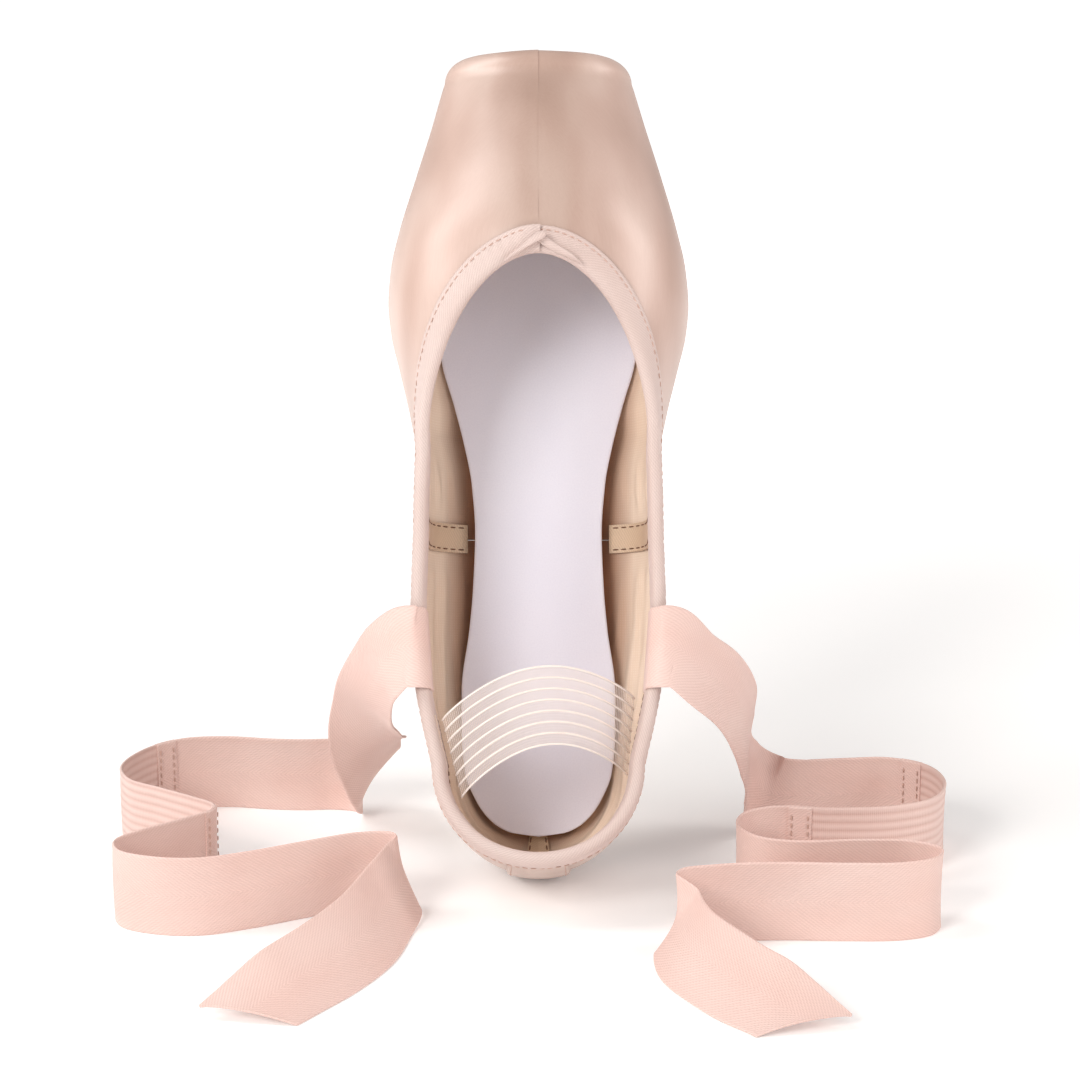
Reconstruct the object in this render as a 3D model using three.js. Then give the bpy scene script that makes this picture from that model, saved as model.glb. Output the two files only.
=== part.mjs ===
// A satin pointe shoe standing on its heel, with its drawstring, sheer elastic and two loose ribbons.
//
// The shoe is drawn in its own lying frame, in millimetres: X across, Y from heel to toe, Z up from the
// sole. Its group is then tilted until the toe points up. The ribbons are drawn in the standing frame,
// with the floor at Z = 0.
//
// Every layer of the upper is cut from one skin, which is given by a station and a level:
//   station: 0 at the heel's centre of curvature, negative round the heel, positive towards the toe
//   level:   0 at the sole's centre line, 1 at the widest point of the wall, 2 at the crown

import * as THREE from 'three';

// ---- driving dimensions ----
const length = 230;
const heelCentre = 30;
const heelArc = 44;
const leanFromVertical = 24;
const heelLift = 5.5;
const platformFillet = 6;
const platformShrink = 0.2;
const platformStart = length - platformFillet;
const sideSeam = 96;
const seamGap = 0.4;
const throatStart = 118;
const throatReach = 50.8;
const throatHalfWidth = 32.2;
const throatRoundness = 0.53;
const rimSwitch = 122;
const satinThickness = 0.8;
const layerGap = 0.5;
const liningThickness = 0.8;
const boxThickness = 1.5;
const boxGap = 0.9;
const bindingWidth = 4.6;
const bindingThickness = 0.7;
const cordRadius = 0.45;
const tailRadius = 0.8;
const outsoleThickness = 2;
const fillerHeight = [2.9, 5];
const shankHeight = [5.6, 7.8];
const insoleHeight = [8.4, 9.4];
const patchHalfWidth = 8.5;
const patchLowLevel = 0.8;
const patchBelowRim = 6;
const patchThickness = 0.7;
const elasticHalfWidth = 10.2;
const elasticThickness = 0.8;
const ribbonWidth = 22;
const ribbonTip = 12;
// Distances along each ribbon between which the elastic insert lies.
const insertPlaces = { left: [162.5, 232], right: [140.5, 212] };
const ribbonThickness = 0.8;

// Dimension against distance from the heel, each row [distance, value].
const halfWidthAlong = [
  [30, 27.8], [42, 30.6], [52, 32.4], [73, 33.8], [94, 33.4], [113, 33.4], [127, 35.6], [141, 38.8],
  [151, 41.2], [160, 42.1], [169, 41.5], [180, 39.2], [196, 34.7], [210, 30.6], [222, 27.4], [230, 25],
];
const crownAlong = [
  [0, 90], [30, 165], [50, 170], [73, 150], [94, 135], [113, 108], [122, 88.5], [127, 76.8], [133, 67.7],
  [138, 63.3], [144, 60], [151, 58.2], [173, 57.5], [190, 53], [210, 44.5], [225, 36], [230, 33],
];
const bulgeHeightAlong = [[0, 20], [110, 20], [150, 22], [175, 22], [200, 20], [230, 18]];
const rimHeightAlong = [
  [0, 50], [12, 50], [30, 47.5], [50, 45], [73, 43], [94, 42.5], [113, 43.5], [122, 46],
];
const outsoleHalfWidth = [
  [10, 0], [11.5, 8.5], [15.5, 14], [24, 18.5], [35, 19.5], [50, 19], [70, 15.5], [90, 14.5], [110, 17],
  [130, 22], [150, 26], [165, 27], [180, 25.5], [193, 21], [202, 13], [207, 0],
];
const insoleHalfWidth = [
  [12.3, 0], [13.5, 8], [17, 13.5], [22, 17.2], [30, 20.4], [40, 21.3], [53, 21.4], [70, 19.3], [82, 18.3],
  [97, 17.8], [111, 18.8], [122, 20.9], [134, 24], [146, 27.4], [160, 29], [175, 27.6], [188, 23], [194, 16],
  [197, 0],
];
const shankHalfWidth = [
  [16, 0], [19, 10], [28, 15], [50, 15.5], [80, 13.5], [110, 14], [126, 14.5], [133, 11], [136, 0],
];
const fillerHalfWidth = [[24, 0], [28, 8], [40, 11], [80, 9.5], [108, 9], [118, 6], [122, 0]];

const soleRoundness = 0.7;
const toeSpring = { lift: 3, from: 190 };
const lastingClosed = { from: 190, to: 204 };
const rightAngle = Math.PI / 2;

// ---- curves ----

// A smooth curve through [x, y] rows that never overshoots between them.
function smoothThrough(rows) {
  const slopes = rows.slice(1).map((row, i) => (row[1] - rows[i][1]) / (row[0] - rows[i][0]));
  const tangents = rows.map((row, i) => {
    if (i === 0) return slopes[0];
    if (i === rows.length - 1) return slopes[i - 1];
    const product = slopes[i - 1] * slopes[i];
    return product <= 0 ? 0 : (2 * product) / (slopes[i - 1] + slopes[i]);
  });
  return (x) => {
    const last = rows.length - 2;
    const found = rows.findIndex((row, i) => i <= last && x < rows[i + 1][0]);
    const i = found < 0 ? last : found;
    const span = rows[i + 1][0] - rows[i][0];
    const t = Math.min(1, Math.max(0, (x - rows[i][0]) / span));
    const rise = t * t * (3 - 2 * t);
    const bend = span * t * (1 - t) * ((1 - t) * tangents[i] - t * tangents[i + 1]);
    return rows[i][1] + rise * (rows[i + 1][1] - rows[i][1]) + bend;
  };
}

function easedStep(x, from, to) {
  const t = Math.min(1, Math.max(0, (x - from) / (to - from)));
  return t * t * (3 - 2 * t);
}

const halfWidthAt = smoothThrough(halfWidthAlong);
const crownAt = smoothThrough(crownAlong);
const bulgeHeightAt = smoothThrough(bulgeHeightAlong);
const rimHeightAt = smoothThrough(rimHeightAlong);

// ---- the skin of the shoe ----

// The plane of one station: its centre on the shoe's middle line, its outward direction and its radius.
function stationPlane(station) {
  const angle = Math.min(0, station / heelArc) * rightAngle;
  const centre = Math.min(platformStart, heelCentre + Math.max(0, station));
  const backness = Math.sin(angle) ** 2;
  const radius = station < 0 ? halfWidthAt(heelCentre) + backness : halfWidthAt(centre);
  const distance = station < 0 ? heelCentre * (1 + Math.sin(angle)) : centre;
  return { angle, centre, radius, distance };
}

function soleLift(distance) {
  return toeSpring.lift * easedStep(distance, toeSpring.from, length);
}

// Past the platform's edge the station runs over a fillet and then across the flat end to its middle.
function platformShape(station) {
  const past = heelCentre + station - platformStart;
  const turn = Math.min(1, Math.max(0, past / platformFillet)) * rightAngle;
  const across = Math.min(1, Math.max(0, (past - platformFillet) / platformFillet));
  const scale = (1 - platformShrink * (1 - Math.cos(turn))) * (1 - across);
  return { rise: platformFillet * Math.sin(turn), scale };
}

function skinPoint(station, level) {
  const { angle, centre, radius, distance } = stationPlane(station);
  const lift = soleLift(distance);
  const bulge = bulgeHeightAt(distance) - lift;
  const lower = Math.min(level, 1) * rightAngle;
  const upper = Math.max(level - 1, 0) * rightAngle;
  let out = radius * Math.sin(lower) ** soleRoundness * Math.max(0, Math.cos(upper));
  let height = lift + bulge * (1 - Math.max(0, Math.cos(lower)) ** soleRoundness);
  height += (crownAt(distance) - lift - bulge) * Math.sin(upper);
  const { rise, scale } = platformShape(station);
  const middle = (crownAt(distance) + lift) / 2;
  out *= scale;
  height = middle + (height - middle) * scale;
  return new THREE.Vector3(out * Math.cos(angle), centre + rise + out * Math.sin(angle), height);
}

const platformMiddle = platformStart - heelCentre + 2 * platformFillet;

function skinNormal(station, level) {
  if (station >= platformMiddle - platformFillet) return new THREE.Vector3(0, 1, 0);
  const step = 0.02;
  const lowLevel = Math.max(0.02, Math.min(level, 1.98));
  const along = skinPoint(station + step * 20, lowLevel).sub(skinPoint(station - step * 20, lowLevel));
  const around = skinPoint(station, lowLevel + step).sub(skinPoint(station, lowLevel - step));
  const normal = along.cross(around).normalize();
  if (level < step || level > 2 - step) normal.setX(0).normalize();
  return normal;
}

// The level at which the upper is cut away for the foot, 2 where the vamp is closed.
function rimLevel(station) {
  const { distance } = stationPlane(station);
  if (distance <= rimSwitch) {
    const lift = bulgeHeightAt(distance);
    const sine = (rimHeightAt(distance) - lift) / (crownAt(distance) - lift);
    return 1 + Math.asin(sine) / rightAngle;
  }
  const reach = (distance - throatStart) / throatReach;
  if (reach >= 1) return 2;
  const across = throatHalfWidth * (1 - reach * reach) ** throatRoundness;
  return 1 + Math.acos(Math.min(1, across / halfWidthAt(distance))) / rightAngle;
}

// The level that is the given height below the rim, behind the throat.
function levelBelowRim(station, drop) {
  const { distance } = stationPlane(station);
  const lift = bulgeHeightAt(distance);
  return 1 + Math.asin((rimHeightAt(distance) - drop - lift) / (crownAt(distance) - lift)) / rightAngle;
}

// The level of the lower edge of a layer that is turned under the sole by the given margin.
function lastedLevel(station, margin) {
  const { radius, distance } = stationPlane(station);
  const closing = easedStep(distance, lastingClosed.from, lastingClosed.to);
  const share = Math.max(0, (radius - margin - closing * radius) / radius);
  return Math.asin(share ** (1 / soleRoundness)) / rightAngle;
}

const rimStations = [];
for (let i = 0; i <= 10; i += 1) rimStations.push(-heelArc + (heelArc * i) / 10);
for (let station = 8; station < rimSwitch - heelCentre; station += 9) rimStations.push(station);
for (let i = 0; i <= 12; i += 1) {
  const reach = Math.sin((i / 12) * rightAngle);
  const start = (rimSwitch - throatStart) / throatReach;
  rimStations.push(throatStart + throatReach * (start + (1 - start) * reach) - heelCentre);
}
const rimPoints = rimStations.map((station) => skinPoint(station, rimLevel(station)));

function rimDistance(point) {
  const mirrored = point.clone().setX(Math.abs(point.x));
  return Math.min(...rimPoints.map((rim) => rim.distanceTo(mirrored)));
}

// ---- turning layers and sweeps into closed solids ----

function geometryFrom(points, faces) {
  const geometry = new THREE.BufferGeometry();
  geometry.setAttribute('position', new THREE.Float32BufferAttribute(points.flatMap((p) => p.toArray()), 3));
  geometry.setIndex(faces.flat());
  geometry.computeVertexNormals();
  return geometry;
}

// Gives a sheet its thickness: outer and inner points share one numbering, and faces look outwards.
function thickened(outer, inner, faces) {
  const seen = new Map();
  const kept = [];
  const rename = outer.map((point, i) => {
    const key = point.toArray().map((value) => Math.round(value * 500)).join();
    if (!seen.has(key)) {
      seen.set(key, kept.length);
      kept.push(i);
    }
    return seen.get(key);
  });
  const renamed = faces.map((face) => face.map((i) => rename[i]));
  const sound = renamed.filter(([a, b, c]) => a !== b && b !== c && c !== a);
  const edges = new Set(sound.flatMap(([a, b, c]) => [`${a},${b}`, `${b},${c}`, `${c},${a}`]));
  const count = kept.length;
  const solid = [...sound, ...sound.map(([a, b, c]) => [a + count, c + count, b + count])];
  for (const edge of edges) {
    const [a, b] = edge.split(',').map(Number);
    if (!edges.has(`${b},${a}`)) solid.push([b, a, a + count], [b, a + count, b + count]);
  }
  return geometryFrom([...kept.map((i) => outer[i]), ...kept.map((i) => inner[i])], solid);
}

// A layer between two depths below the skin. It spans the given stations and, at each, the levels from
// low to high; sides lists +1 for the right half and -1 for the left, and keep picks the points it covers.
function skinLayer({ stations, low, high, outerDepth, innerDepth, columns, sides, keep = () => true }) {
  const outer = [];
  const inner = [];
  const covered = [];
  const faces = [];
  for (const side of sides) {
    const start = outer.length;
    for (const station of stations) {
      for (let j = 0; j <= columns; j += 1) {
        const level = low(station) + ((high(station) - low(station)) * j) / columns;
        const point = skinPoint(station, level);
        const normal = skinNormal(station, level);
        const place = (depth) => {
          const moved = point.clone().addScaledVector(normal, -depth(point, station));
          const onMiddle = level < 1e-6 || level > 2 - 1e-6;
          return moved.setX(onMiddle ? 0 : moved.x * side);
        };
        outer.push(place(outerDepth));
        inner.push(place(innerDepth));
        covered.push(keep(point, station));
      }
    }
    for (let i = 0; i + 1 < stations.length; i += 1) {
      for (let j = 0; j < columns; j += 1) {
        const a = start + i * (columns + 1) + j;
        const b = a + 1;
        const c = a + columns + 1;
        const d = c + 1;
        if (![a, b, c, d].every((corner) => covered[corner])) continue;
        if (side > 0) faces.push([a, c, d], [a, d, b]);
        else faces.push([a, d, c], [a, b, d]);
      }
    }
  }
  return thickened(outer, inner, faces);
}

// A solid swept through rings of points; each ring runs anticlockwise seen from its end of travel.
function sweptRings(rings) {
  const size = rings[0].length;
  const points = rings.flat();
  const faces = [];
  for (let i = 0; i + 1 < rings.length; i += 1) {
    for (let j = 0; j < size; j += 1) {
      const a = i * size + j;
      const b = i * size + ((j + 1) % size);
      faces.push([a, b, b + size], [a, b + size, a + size]);
    }
  }
  const outline = rings[0].map((point) => point.clone());
  const frame = planeOf(outline);
  const flat = outline.map((point) => new THREE.Vector2(point.dot(frame.x), point.dot(frame.y)));
  const capFaces = THREE.ShapeUtils.triangulateShape(flat, []);
  const last = (rings.length - 1) * size;
  for (const [a, b, c] of capFaces) {
    faces.push([a, c, b], [last + a, last + b, last + c]);
  }
  const geometry = geometryFrom(points, faces);
  return facingOut(geometry);
}

function planeOf(outline) {
  const normal = new THREE.Vector3();
  outline.forEach((point, i) => {
    const next = outline[(i + 1) % outline.length];
    normal.add(point.clone().cross(next));
  });
  normal.normalize();
  const x = outline[1].clone().sub(outline[0]).normalize();
  return { x, y: normal.clone().cross(x) };
}

// Turns every face over when the closed surface encloses a negative volume.
function facingOut(geometry) {
  const position = geometry.getAttribute('position');
  const index = geometry.getIndex();
  const corner = (i) => new THREE.Vector3().fromBufferAttribute(position, index.getX(i));
  let volume = 0;
  for (let i = 0; i < index.count; i += 3) volume += corner(i).dot(corner(i + 1).cross(corner(i + 2)));
  if (volume > 0) return geometry;
  const turned = [];
  for (let i = 0; i < index.count; i += 3) turned.push(index.getX(i), index.getX(i + 2), index.getX(i + 1));
  geometry.setIndex(turned);
  return geometry;
}

// A round cord along a list of points.
function cordAlong(points, radius, steps, segments) {
  const curve = new THREE.CatmullRomCurve3(points, false, 'centripetal');
  const section = new THREE.Shape().absarc(0, 0, radius, 0, 2 * Math.PI);
  const settings = { steps, curveSegments: segments, bevelEnabled: false, extrudePath: curve };
  return new THREE.ExtrudeGeometry(section, settings);
}

// A flat plate in the lying frame, symmetric about the middle line.
function plate(halfWidthRows, [bottom, top], steps = 28) {
  const widthAt = smoothThrough(halfWidthRows);
  const start = halfWidthRows[0][0];
  const span = halfWidthRows[halfWidthRows.length - 1][0] - start;
  const side = [];
  for (let i = 0; i <= steps; i += 1) {
    const distance = start + span * (0.5 - 0.5 * Math.cos((Math.PI * i) / steps));
    side.push([widthAt(distance), distance]);
  }
  const right = side.map(([x, y]) => new THREE.Vector2(x, y));
  const left = side.slice(1, -1).reverse().map(([x, y]) => new THREE.Vector2(-x, y));
  const geometry = new THREE.ExtrudeGeometry(new THREE.Shape([...right, ...left]), {
    depth: top - bottom,
    bevelEnabled: false,
  });
  return geometry.translate(0, 0, bottom);
}

// ---- materials ----

function finish(color, roughness, metalness = 0) {
  return new THREE.MeshStandardMaterial({ color, roughness, metalness });
}

const finishes = {
  satin: finish(0xecc9b8, 0.38),
  lining: finish(0xdcc0a2, 0.9),
  stiffener: finish(0xd8c9ae, 0.85),
  insole: finish(0xddd3dc, 0.75),
  board: finish(0xb89a74, 0.85),
  leather: finish(0xc9a58c, 0.6),
  binding: finish(0xe8bfae, 0.7),
  cord: finish(0xe9c6b6, 0.7),
  ribbon: finish(0xf1c6b8, 0.55),
  elastic: finish(0xf4dccf, 0.6),
};

function addMesh(parent, name, geometry, material) {
  const mesh = new THREE.Mesh(geometry, finishes[material]);
  mesh.name = name;
  parent.add(mesh);
  return mesh;
}

// ---- the upper ----

const seamStation = sideSeam - heelCentre;
const quarterStations = rimStations.filter((station) => station < seamStation - 2);
quarterStations.push(seamStation - seamGap / 2);
quarterStations[0] += seamGap / 2;

const toeDistances = [
  174, 180, 187, 194, 200, 207, 213, 219, platformStart, platformStart + 0.4 * platformFillet,
  platformStart + 0.75 * platformFillet, platformStart + platformFillet,
  platformStart + 1.5 * platformFillet, platformStart + 2 * platformFillet,
];
const vampStations = [
  seamStation + seamGap / 2,
  ...rimStations.filter((station) => station > seamStation + 2),
  ...toeDistances.map((distance) => distance - heelCentre),
];

const boxStart = 136 - heelCentre;
const boxClearance = 11.5;

// The lining steps inwards where the stiff box lies between it and the satin.
function liningDepth(point, station) {
  const forward = easedStep(heelCentre + station, 124, 134);
  const inside = easedStep(rimDistance(point), 7, 11);
  return satinThickness + layerGap + forward * inside * (boxThickness + boxGap);
}

const lastingMargin = 20;
const tapeWidth = 8;
const tapeLowLevel = 0.34;
const tapeThickness = 0.5;
const belowBinding = 7.5;

function addUpper(parent) {
  const satin = { outerDepth: () => 0, innerDepth: () => satinThickness };
  const lining = {
    outerDepth: liningDepth,
    innerDepth: (point, station) => liningDepth(point, station) + liningThickness,
  };
  const box = {
    outerDepth: () => satinThickness + layerGap,
    innerDepth: () => satinThickness + layerGap + boxThickness,
  };
  const lasted = { low: (station) => lastedLevel(station, lastingMargin), high: rimLevel };
  const vamp = { ...lasted, stations: vampStations, columns: 12, sides: [1, -1] };
  const inBox = (point, station) => station > boxStart && rimDistance(point) > boxClearance;
  addMesh(parent, 'vamp_satin', skinLayer({ ...vamp, ...satin }), 'satin');
  addMesh(parent, 'toe_box', skinLayer({ ...vamp, ...box, keep: inBox }), 'stiffener');
  addMesh(parent, 'vamp_lining', skinLayer({ ...vamp, ...lining }), 'lining');
  for (const [sideName, side] of [['right', 1], ['left', -1]]) {
    const quarter = { ...lasted, stations: quarterStations, columns: 8, sides: [side] };
    addMesh(parent, `quarter_satin_${sideName}`, skinLayer({ ...quarter, ...satin }), 'satin');
    addMesh(parent, `quarter_lining_${sideName}`, skinLayer({ ...quarter, ...lining }), 'lining');
  }
}

const insideLining = satinThickness + layerGap + liningThickness + 0.6;

// Narrow tapes inside the lining, over the back seam and the two side seams.
function addSeamTapes(parent) {
  const depth = insideLining;
  const tape = {
    outerDepth: () => depth,
    innerDepth: () => depth + tapeThickness,
    low: () => tapeLowLevel,
    high: (station) => levelBelowRim(station, belowBinding),
    columns: 6,
  };
  const back = [0, 1, 2].map((i) => -heelArc + (i * tapeWidth) / 4);
  addMesh(parent, 'back_seam_tape', skinLayer({ ...tape, stations: back, sides: [1, -1] }), 'lining');
  const across = [-1, 0, 1].map((i) => seamStation + (i * tapeWidth) / 2);
  for (const [sideName, side] of [['right', 1], ['left', -1]]) {
    const sideTape = { ...tape, stations: across, sides: [side] };
    addMesh(parent, `side_seam_tape_${sideName}`, skinLayer(sideTape), 'lining');
  }
}

// The patch sewn over the back seam, outside the satin.
function addHeelPatch(parent) {
  const outward = 0.4;
  const reach = patchHalfWidth / skinPoint(0, 1).x / rightAngle * heelArc;
  const patch = skinLayer({
    stations: [0, 0.25, 0.5, 0.75, 1].map((share) => -heelArc + share * reach),
    low: () => patchLowLevel,
    high: (station) => levelBelowRim(station, patchBelowRim),
    outerDepth: () => -outward - patchThickness,
    innerDepth: () => -outward,
    columns: 8,
    sides: [1, -1],
  });
  addMesh(parent, 'heel_patch', patch, 'satin');
}

// ---- the sole ----

function addSole(parent) {
  const outsoleTop = -0.4;
  addMesh(parent, 'outsole', plate(outsoleHalfWidth, [outsoleTop - outsoleThickness, outsoleTop]), 'leather');
  addMesh(parent, 'sole_filler', plate(fillerHalfWidth, fillerHeight, 18), 'stiffener');
  addMesh(parent, 'shank_board', plate(shankHalfWidth, shankHeight, 22), 'board');
  addMesh(parent, 'insole_sock', plate(insoleHalfWidth, insoleHeight), 'insole');
}

// ---- the binding round the opening, and the drawstring inside it ----

// Frames along the rim from the throat's right side round the heel to its left side. Each has the rim
// point, the skin's normal and the rise direction, which points away from the upper across its edge.
function rimFrames(slotHalfWidth) {
  const half = rimStations.map((station) => {
    const level = rimLevel(station);
    return { point: skinPoint(station, level), normal: skinNormal(station, level) };
  });
  const usable = half.filter(({ point }) => point.x > slotHalfWidth || point.y < heelCentre);
  const mirrored = usable.slice(1).map(({ point, normal }) => ({
    point: point.clone().setX(-point.x),
    normal: normal.clone().setX(-normal.x),
  }));
  const loop = [...usable.slice().reverse(), ...mirrored];
  return loop.map((frame, i) => {
    const before = loop[Math.max(0, i - 1)].point;
    const after = loop[Math.min(loop.length - 1, i + 1)].point;
    const travel = after.clone().sub(before).normalize();
    const rise = travel.clone().cross(frame.normal).normalize();
    return { ...frame, rise };
  });
}

function addBinding(parent) {
  const slotHalfWidth = 4;
  const frames = rimFrames(slotHalfWidth);
  const clearance = 0.45;
  const outside = clearance;
  const inside = -(satinThickness + layerGap + liningThickness + clearance);
  const flap = bindingThickness;
  const spread = 0.8;
  const innerEdge = -bindingWidth + 0.4;
  const foldTop = 3;
  const foldUnder = foldTop - flap;
  const shoulder = 1.8;
  const profile = [
    [outside + flap, -bindingWidth], [outside + flap, shoulder], [outside, foldTop], [inside, foldTop],
    [inside - flap, shoulder], [inside - flap - spread, innerEdge], [inside - spread, innerEdge],
    [inside, shoulder], [inside + clearance, foldUnder], [outside - clearance / 2, foldUnder],
    [outside, shoulder], [outside, -bindingWidth],
  ];
  const rings = frames.map(({ point, normal, rise }) => profile.map(([across, up]) => {
    return point.clone().addScaledVector(normal, across).addScaledVector(rise, up);
  }));
  addMesh(parent, 'top_binding', sweptRings(rings), 'binding');

  const cordDepth = 1.05;
  const cordRise = 1.25;
  const cordPoints = frames.map(({ point, normal, rise }) => {
    return point.clone().addScaledVector(normal, -cordDepth).addScaledVector(rise, cordRise);
  });
  addMesh(parent, 'drawstring', cordAlong(cordPoints, cordRadius, 80, 3), 'cord');
}

function addDrawstringTails(parent) {
  const routes = {
    right: [[-1.4, 171.8, 60.4], [1.6, 169.8, 60.4], [5, 167.7, 60], [8.5, 165.8, 60], [11.5, 164, 59.3]],
    left: [[1.6, 171.4, 62.4], [-1.4, 169.7, 62.2], [-4, 168, 61.2], [-6.6, 166.2, 60.3], [-8.8, 164.4, 59.4]],
  };
  for (const [sideName, points] of Object.entries(routes)) {
    const route = points.map((point) => new THREE.Vector3(...point));
    addMesh(parent, `drawstring_tail_${sideName}`, cordAlong(route, tailRadius, 12, 4), 'cord');
  }
}

// ---- the elastic over the heel ----

const elasticLeft = new THREE.Vector3(-22.9, 31.5, 45);
const elasticRight = new THREE.Vector3(24.8, 38, 37);
const elasticArch = new THREE.Vector3(0, 10, 15);
const elasticSplay = [-2.6, 1];
const elasticRoundness = 0.8;

// A point of the elastic: share runs from the left end to the right, across from -1 at its heel edge.
function elasticPoint(share, across) {
  const point = elasticLeft.clone().lerp(elasticRight, share);
  point.addScaledVector(elasticArch, Math.sin(Math.PI * share) ** elasticRoundness);
  const splay = THREE.MathUtils.lerp(elasticSplay[0], elasticSplay[1], share);
  return point.add(new THREE.Vector3(splay * across, elasticHalfWidth * across, 0));
}

function addElastic(parent) {
  const stepsAlong = 18;
  const stepsAcross = 3;
  const shareStep = 0.01;
  const outer = [];
  const inner = [];
  const faces = [];
  for (let i = 0; i <= stepsAlong; i += 1) {
    for (let j = 0; j <= stepsAcross; j += 1) {
      const share = i / stepsAlong;
      const across = (2 * j) / stepsAcross - 1;
      const before = elasticPoint(Math.max(0, share - shareStep), across);
      const after = elasticPoint(Math.min(1, share + shareStep), across);
      const normal = after.sub(before).cross(new THREE.Vector3(0, 1, 0)).normalize();
      const point = elasticPoint(share, across);
      outer.push(point.clone().addScaledVector(normal, elasticThickness / 2));
      inner.push(point.clone().addScaledVector(normal, -elasticThickness / 2));
    }
  }
  for (let i = 0; i < stepsAlong; i += 1) {
    for (let j = 0; j < stepsAcross; j += 1) {
      const a = i * (stepsAcross + 1) + j;
      const c = a + stepsAcross + 1;
      faces.push([a, c, c + 1], [a, c + 1, a + 1]);
    }
  }
  addMesh(parent, 'heel_elastic', facingOut(thickened(outer, inner, faces)), 'elastic');
}

// The two ends of the elastic, sewn flat to the lining below the free part.
function addElasticEnds(parent) {
  const lowLevel = 1.02;
  const sewnGap = 0.1;
  const sewnThickness = 0.6;
  const ends = [
    { sideName: 'right', side: 1, first: 2, highLevel: 1.06 },
    { sideName: 'left', side: -1, first: -8, highLevel: 1.09 },
  ];
  for (const { sideName, side, first, highLevel } of ends) {
    const end = skinLayer({
      stations: [0, 1, 2, 3, 4].map((i) => first + (i * elasticHalfWidth) / 2),
      low: () => lowLevel,
      high: () => highLevel,
      outerDepth: () => insideLining + sewnGap,
      innerDepth: () => insideLining + sewnGap + sewnThickness,
      columns: 2,
      sides: [side],
    });
    addMesh(parent, `elastic_end_${sideName}`, end, 'elastic');
  }
}

// ---- the ribbons, in the standing frame ----

const lean = THREE.MathUtils.degToRad(leanFromVertical);

function standing(x, y, z) {
  const height = y * Math.cos(lean) + z * Math.sin(lean) - heelLift;
  return [x, y * Math.sin(lean) - z * Math.cos(lean), height];
}

const rimFlare = 0.075;
const rimFall = 0.09;
const alongRim = [
  Math.sin(lean) + rimFall * Math.cos(lean),
  Math.cos(lean) - rimFall * Math.sin(lean),
];
const upright = [0, 0, 1];
const sewnAt = 61;

// Where the ribbon leaves the shoe: up the inside of the quarter, over the binding and outwards.
function overTheRim(side) {
  const path = [[27.2, 35], [27.3, 41], [27.9, 46.6], [31.6, 49.3], [36, 47.9]];
  return path.map(([x, z]) => [standing(side * x, sewnAt, z), [side * rimFlare, ...alongRim]]);
}

// Each row is the middle of the ribbon and the direction of its upper edge.
// A ribbon that leans has its lower edge on the floor; each row is that edge and the leaning direction.
function leaning(rows) {
  return rows.map(([edge, up]) => {
    const direction = new THREE.Vector3(...up).normalize();
    const place = new THREE.Vector3(...edge).addScaledVector(direction, ribbonWidth / 2);
    return [place.toArray(), direction.toArray()];
  });
}

const laidOnEdge = (points, up) => points.map(([x, y]) => [[x, y, ribbonWidth / 2], up]);
const flipped = (rows) => rows.map(([place, up]) => [place, up.map((share) => -share)]);

// The left ribbon turns over once as it falls, so what was its upper edge lies on the floor.
const leftRoute = [
  ...overTheRim(-1),
  [[-42, -15.5, 64], [-0.3, 0.5, 0.82]],
  [[-46, -8.5, 56.5], [-0.5, 0.57, 0.65]],
  [[-48.5, -1, 48.5], [-0.63, 0.66, 0.4]],
  [[-48.5, 8, 40.5], [-0.6, 0.8, 0.05]],
  [[-47.5, 18, 30.5], [-0.42, 0.8, -0.45]],
  [[-48, 28, 20.5], [-0.5, 0.45, -0.74]],
  [[-50.5, 35.5, 12.5], [-0.5, -0.05, -0.86]],
  ...flipped(laidOnEdge([
    [-58, 38.6], [-66, 39], [-76, 41], [-90, 43.5], [-103, 42], [-112.5, 34], [-118, 20], [-114.5, 9],
    [-105, 2], [-95, -5], [-89, -10], [-88.5, -14], [-96, -21], [-106, -29], [-112, -36.5], [-110, -43.5],
    [-101, -48], [-89, -49], [-76, -44.5], [-62, -37.5], [-47, -31],
  ], upright)),
  ...flipped(leaning([
    [[-32.5, -34.5, 1], [-0.34, 0.1, 0.94]], [[-33.9, -52, 0], [-0.5, 0.2, 0.84]],
    [[-37.5, -68, 0], [-0.6, 0.27, 0.75]], [[-45, -83.5, 0], [-0.68, 0.33, 0.65]],
    [[-53, -95.2, 0], [-0.74, 0.4, 0.54]], [[-58.5, -103, 0.3], [-0.79, 0.5, 0.35]],
    [[-66, -112.5, 0.6], [-0.8, 0.58, 0.12]],
  ])),
];
const rightRoute = [
  ...overTheRim(1),
  [[44, -15, 62], [0.1, 0.5, 0.85]],
  [[51.5, -7, 53.5], [0.25, 0.55, 0.8]],
  [[56.5, 2, 43], [0.3, 0.6, 0.7]],
  [[58.5, 11, 31], [0.15, 0.6, 0.75]],
  [[60, 18, 20.5], [0, 0.4, 0.9]],
  [[65, 22.5, 12.9], [0, 0.1, 1]],
  ...laidOnEdge([
    [75, 24], [88, 25.5], [100, 26], [110, 20], [113.5, 8], [109, -5], [98, -11.5], [80, -13.5], [64, -12],
    [55.5, -17], [53.5, -25], [58, -33.5], [68, -37], [86, -36], [99, -37], [106, -42], [103.5, -48.5],
    [95, -52], [80, -52.5], [62, -52], [46, -53.5], [36.5, -57],
  ], upright),
  ...leaning([
    [[30, -65, 0.5], [0.5, 0.12, 0.86]], [[31.5, -78, 0], [0.55, 0.22, 0.8]],
    [[38.5, -92, 0], [0.66, 0.28, 0.69]], [[44.6, -100.9, 0], [0.72, 0.36, 0.6]],
    [[51, -108, 0.3], [0.77, 0.48, 0.38]], [[60, -118.5, 0.6], [0.77, 0.62, 0.12]],
  ]),
];

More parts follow.
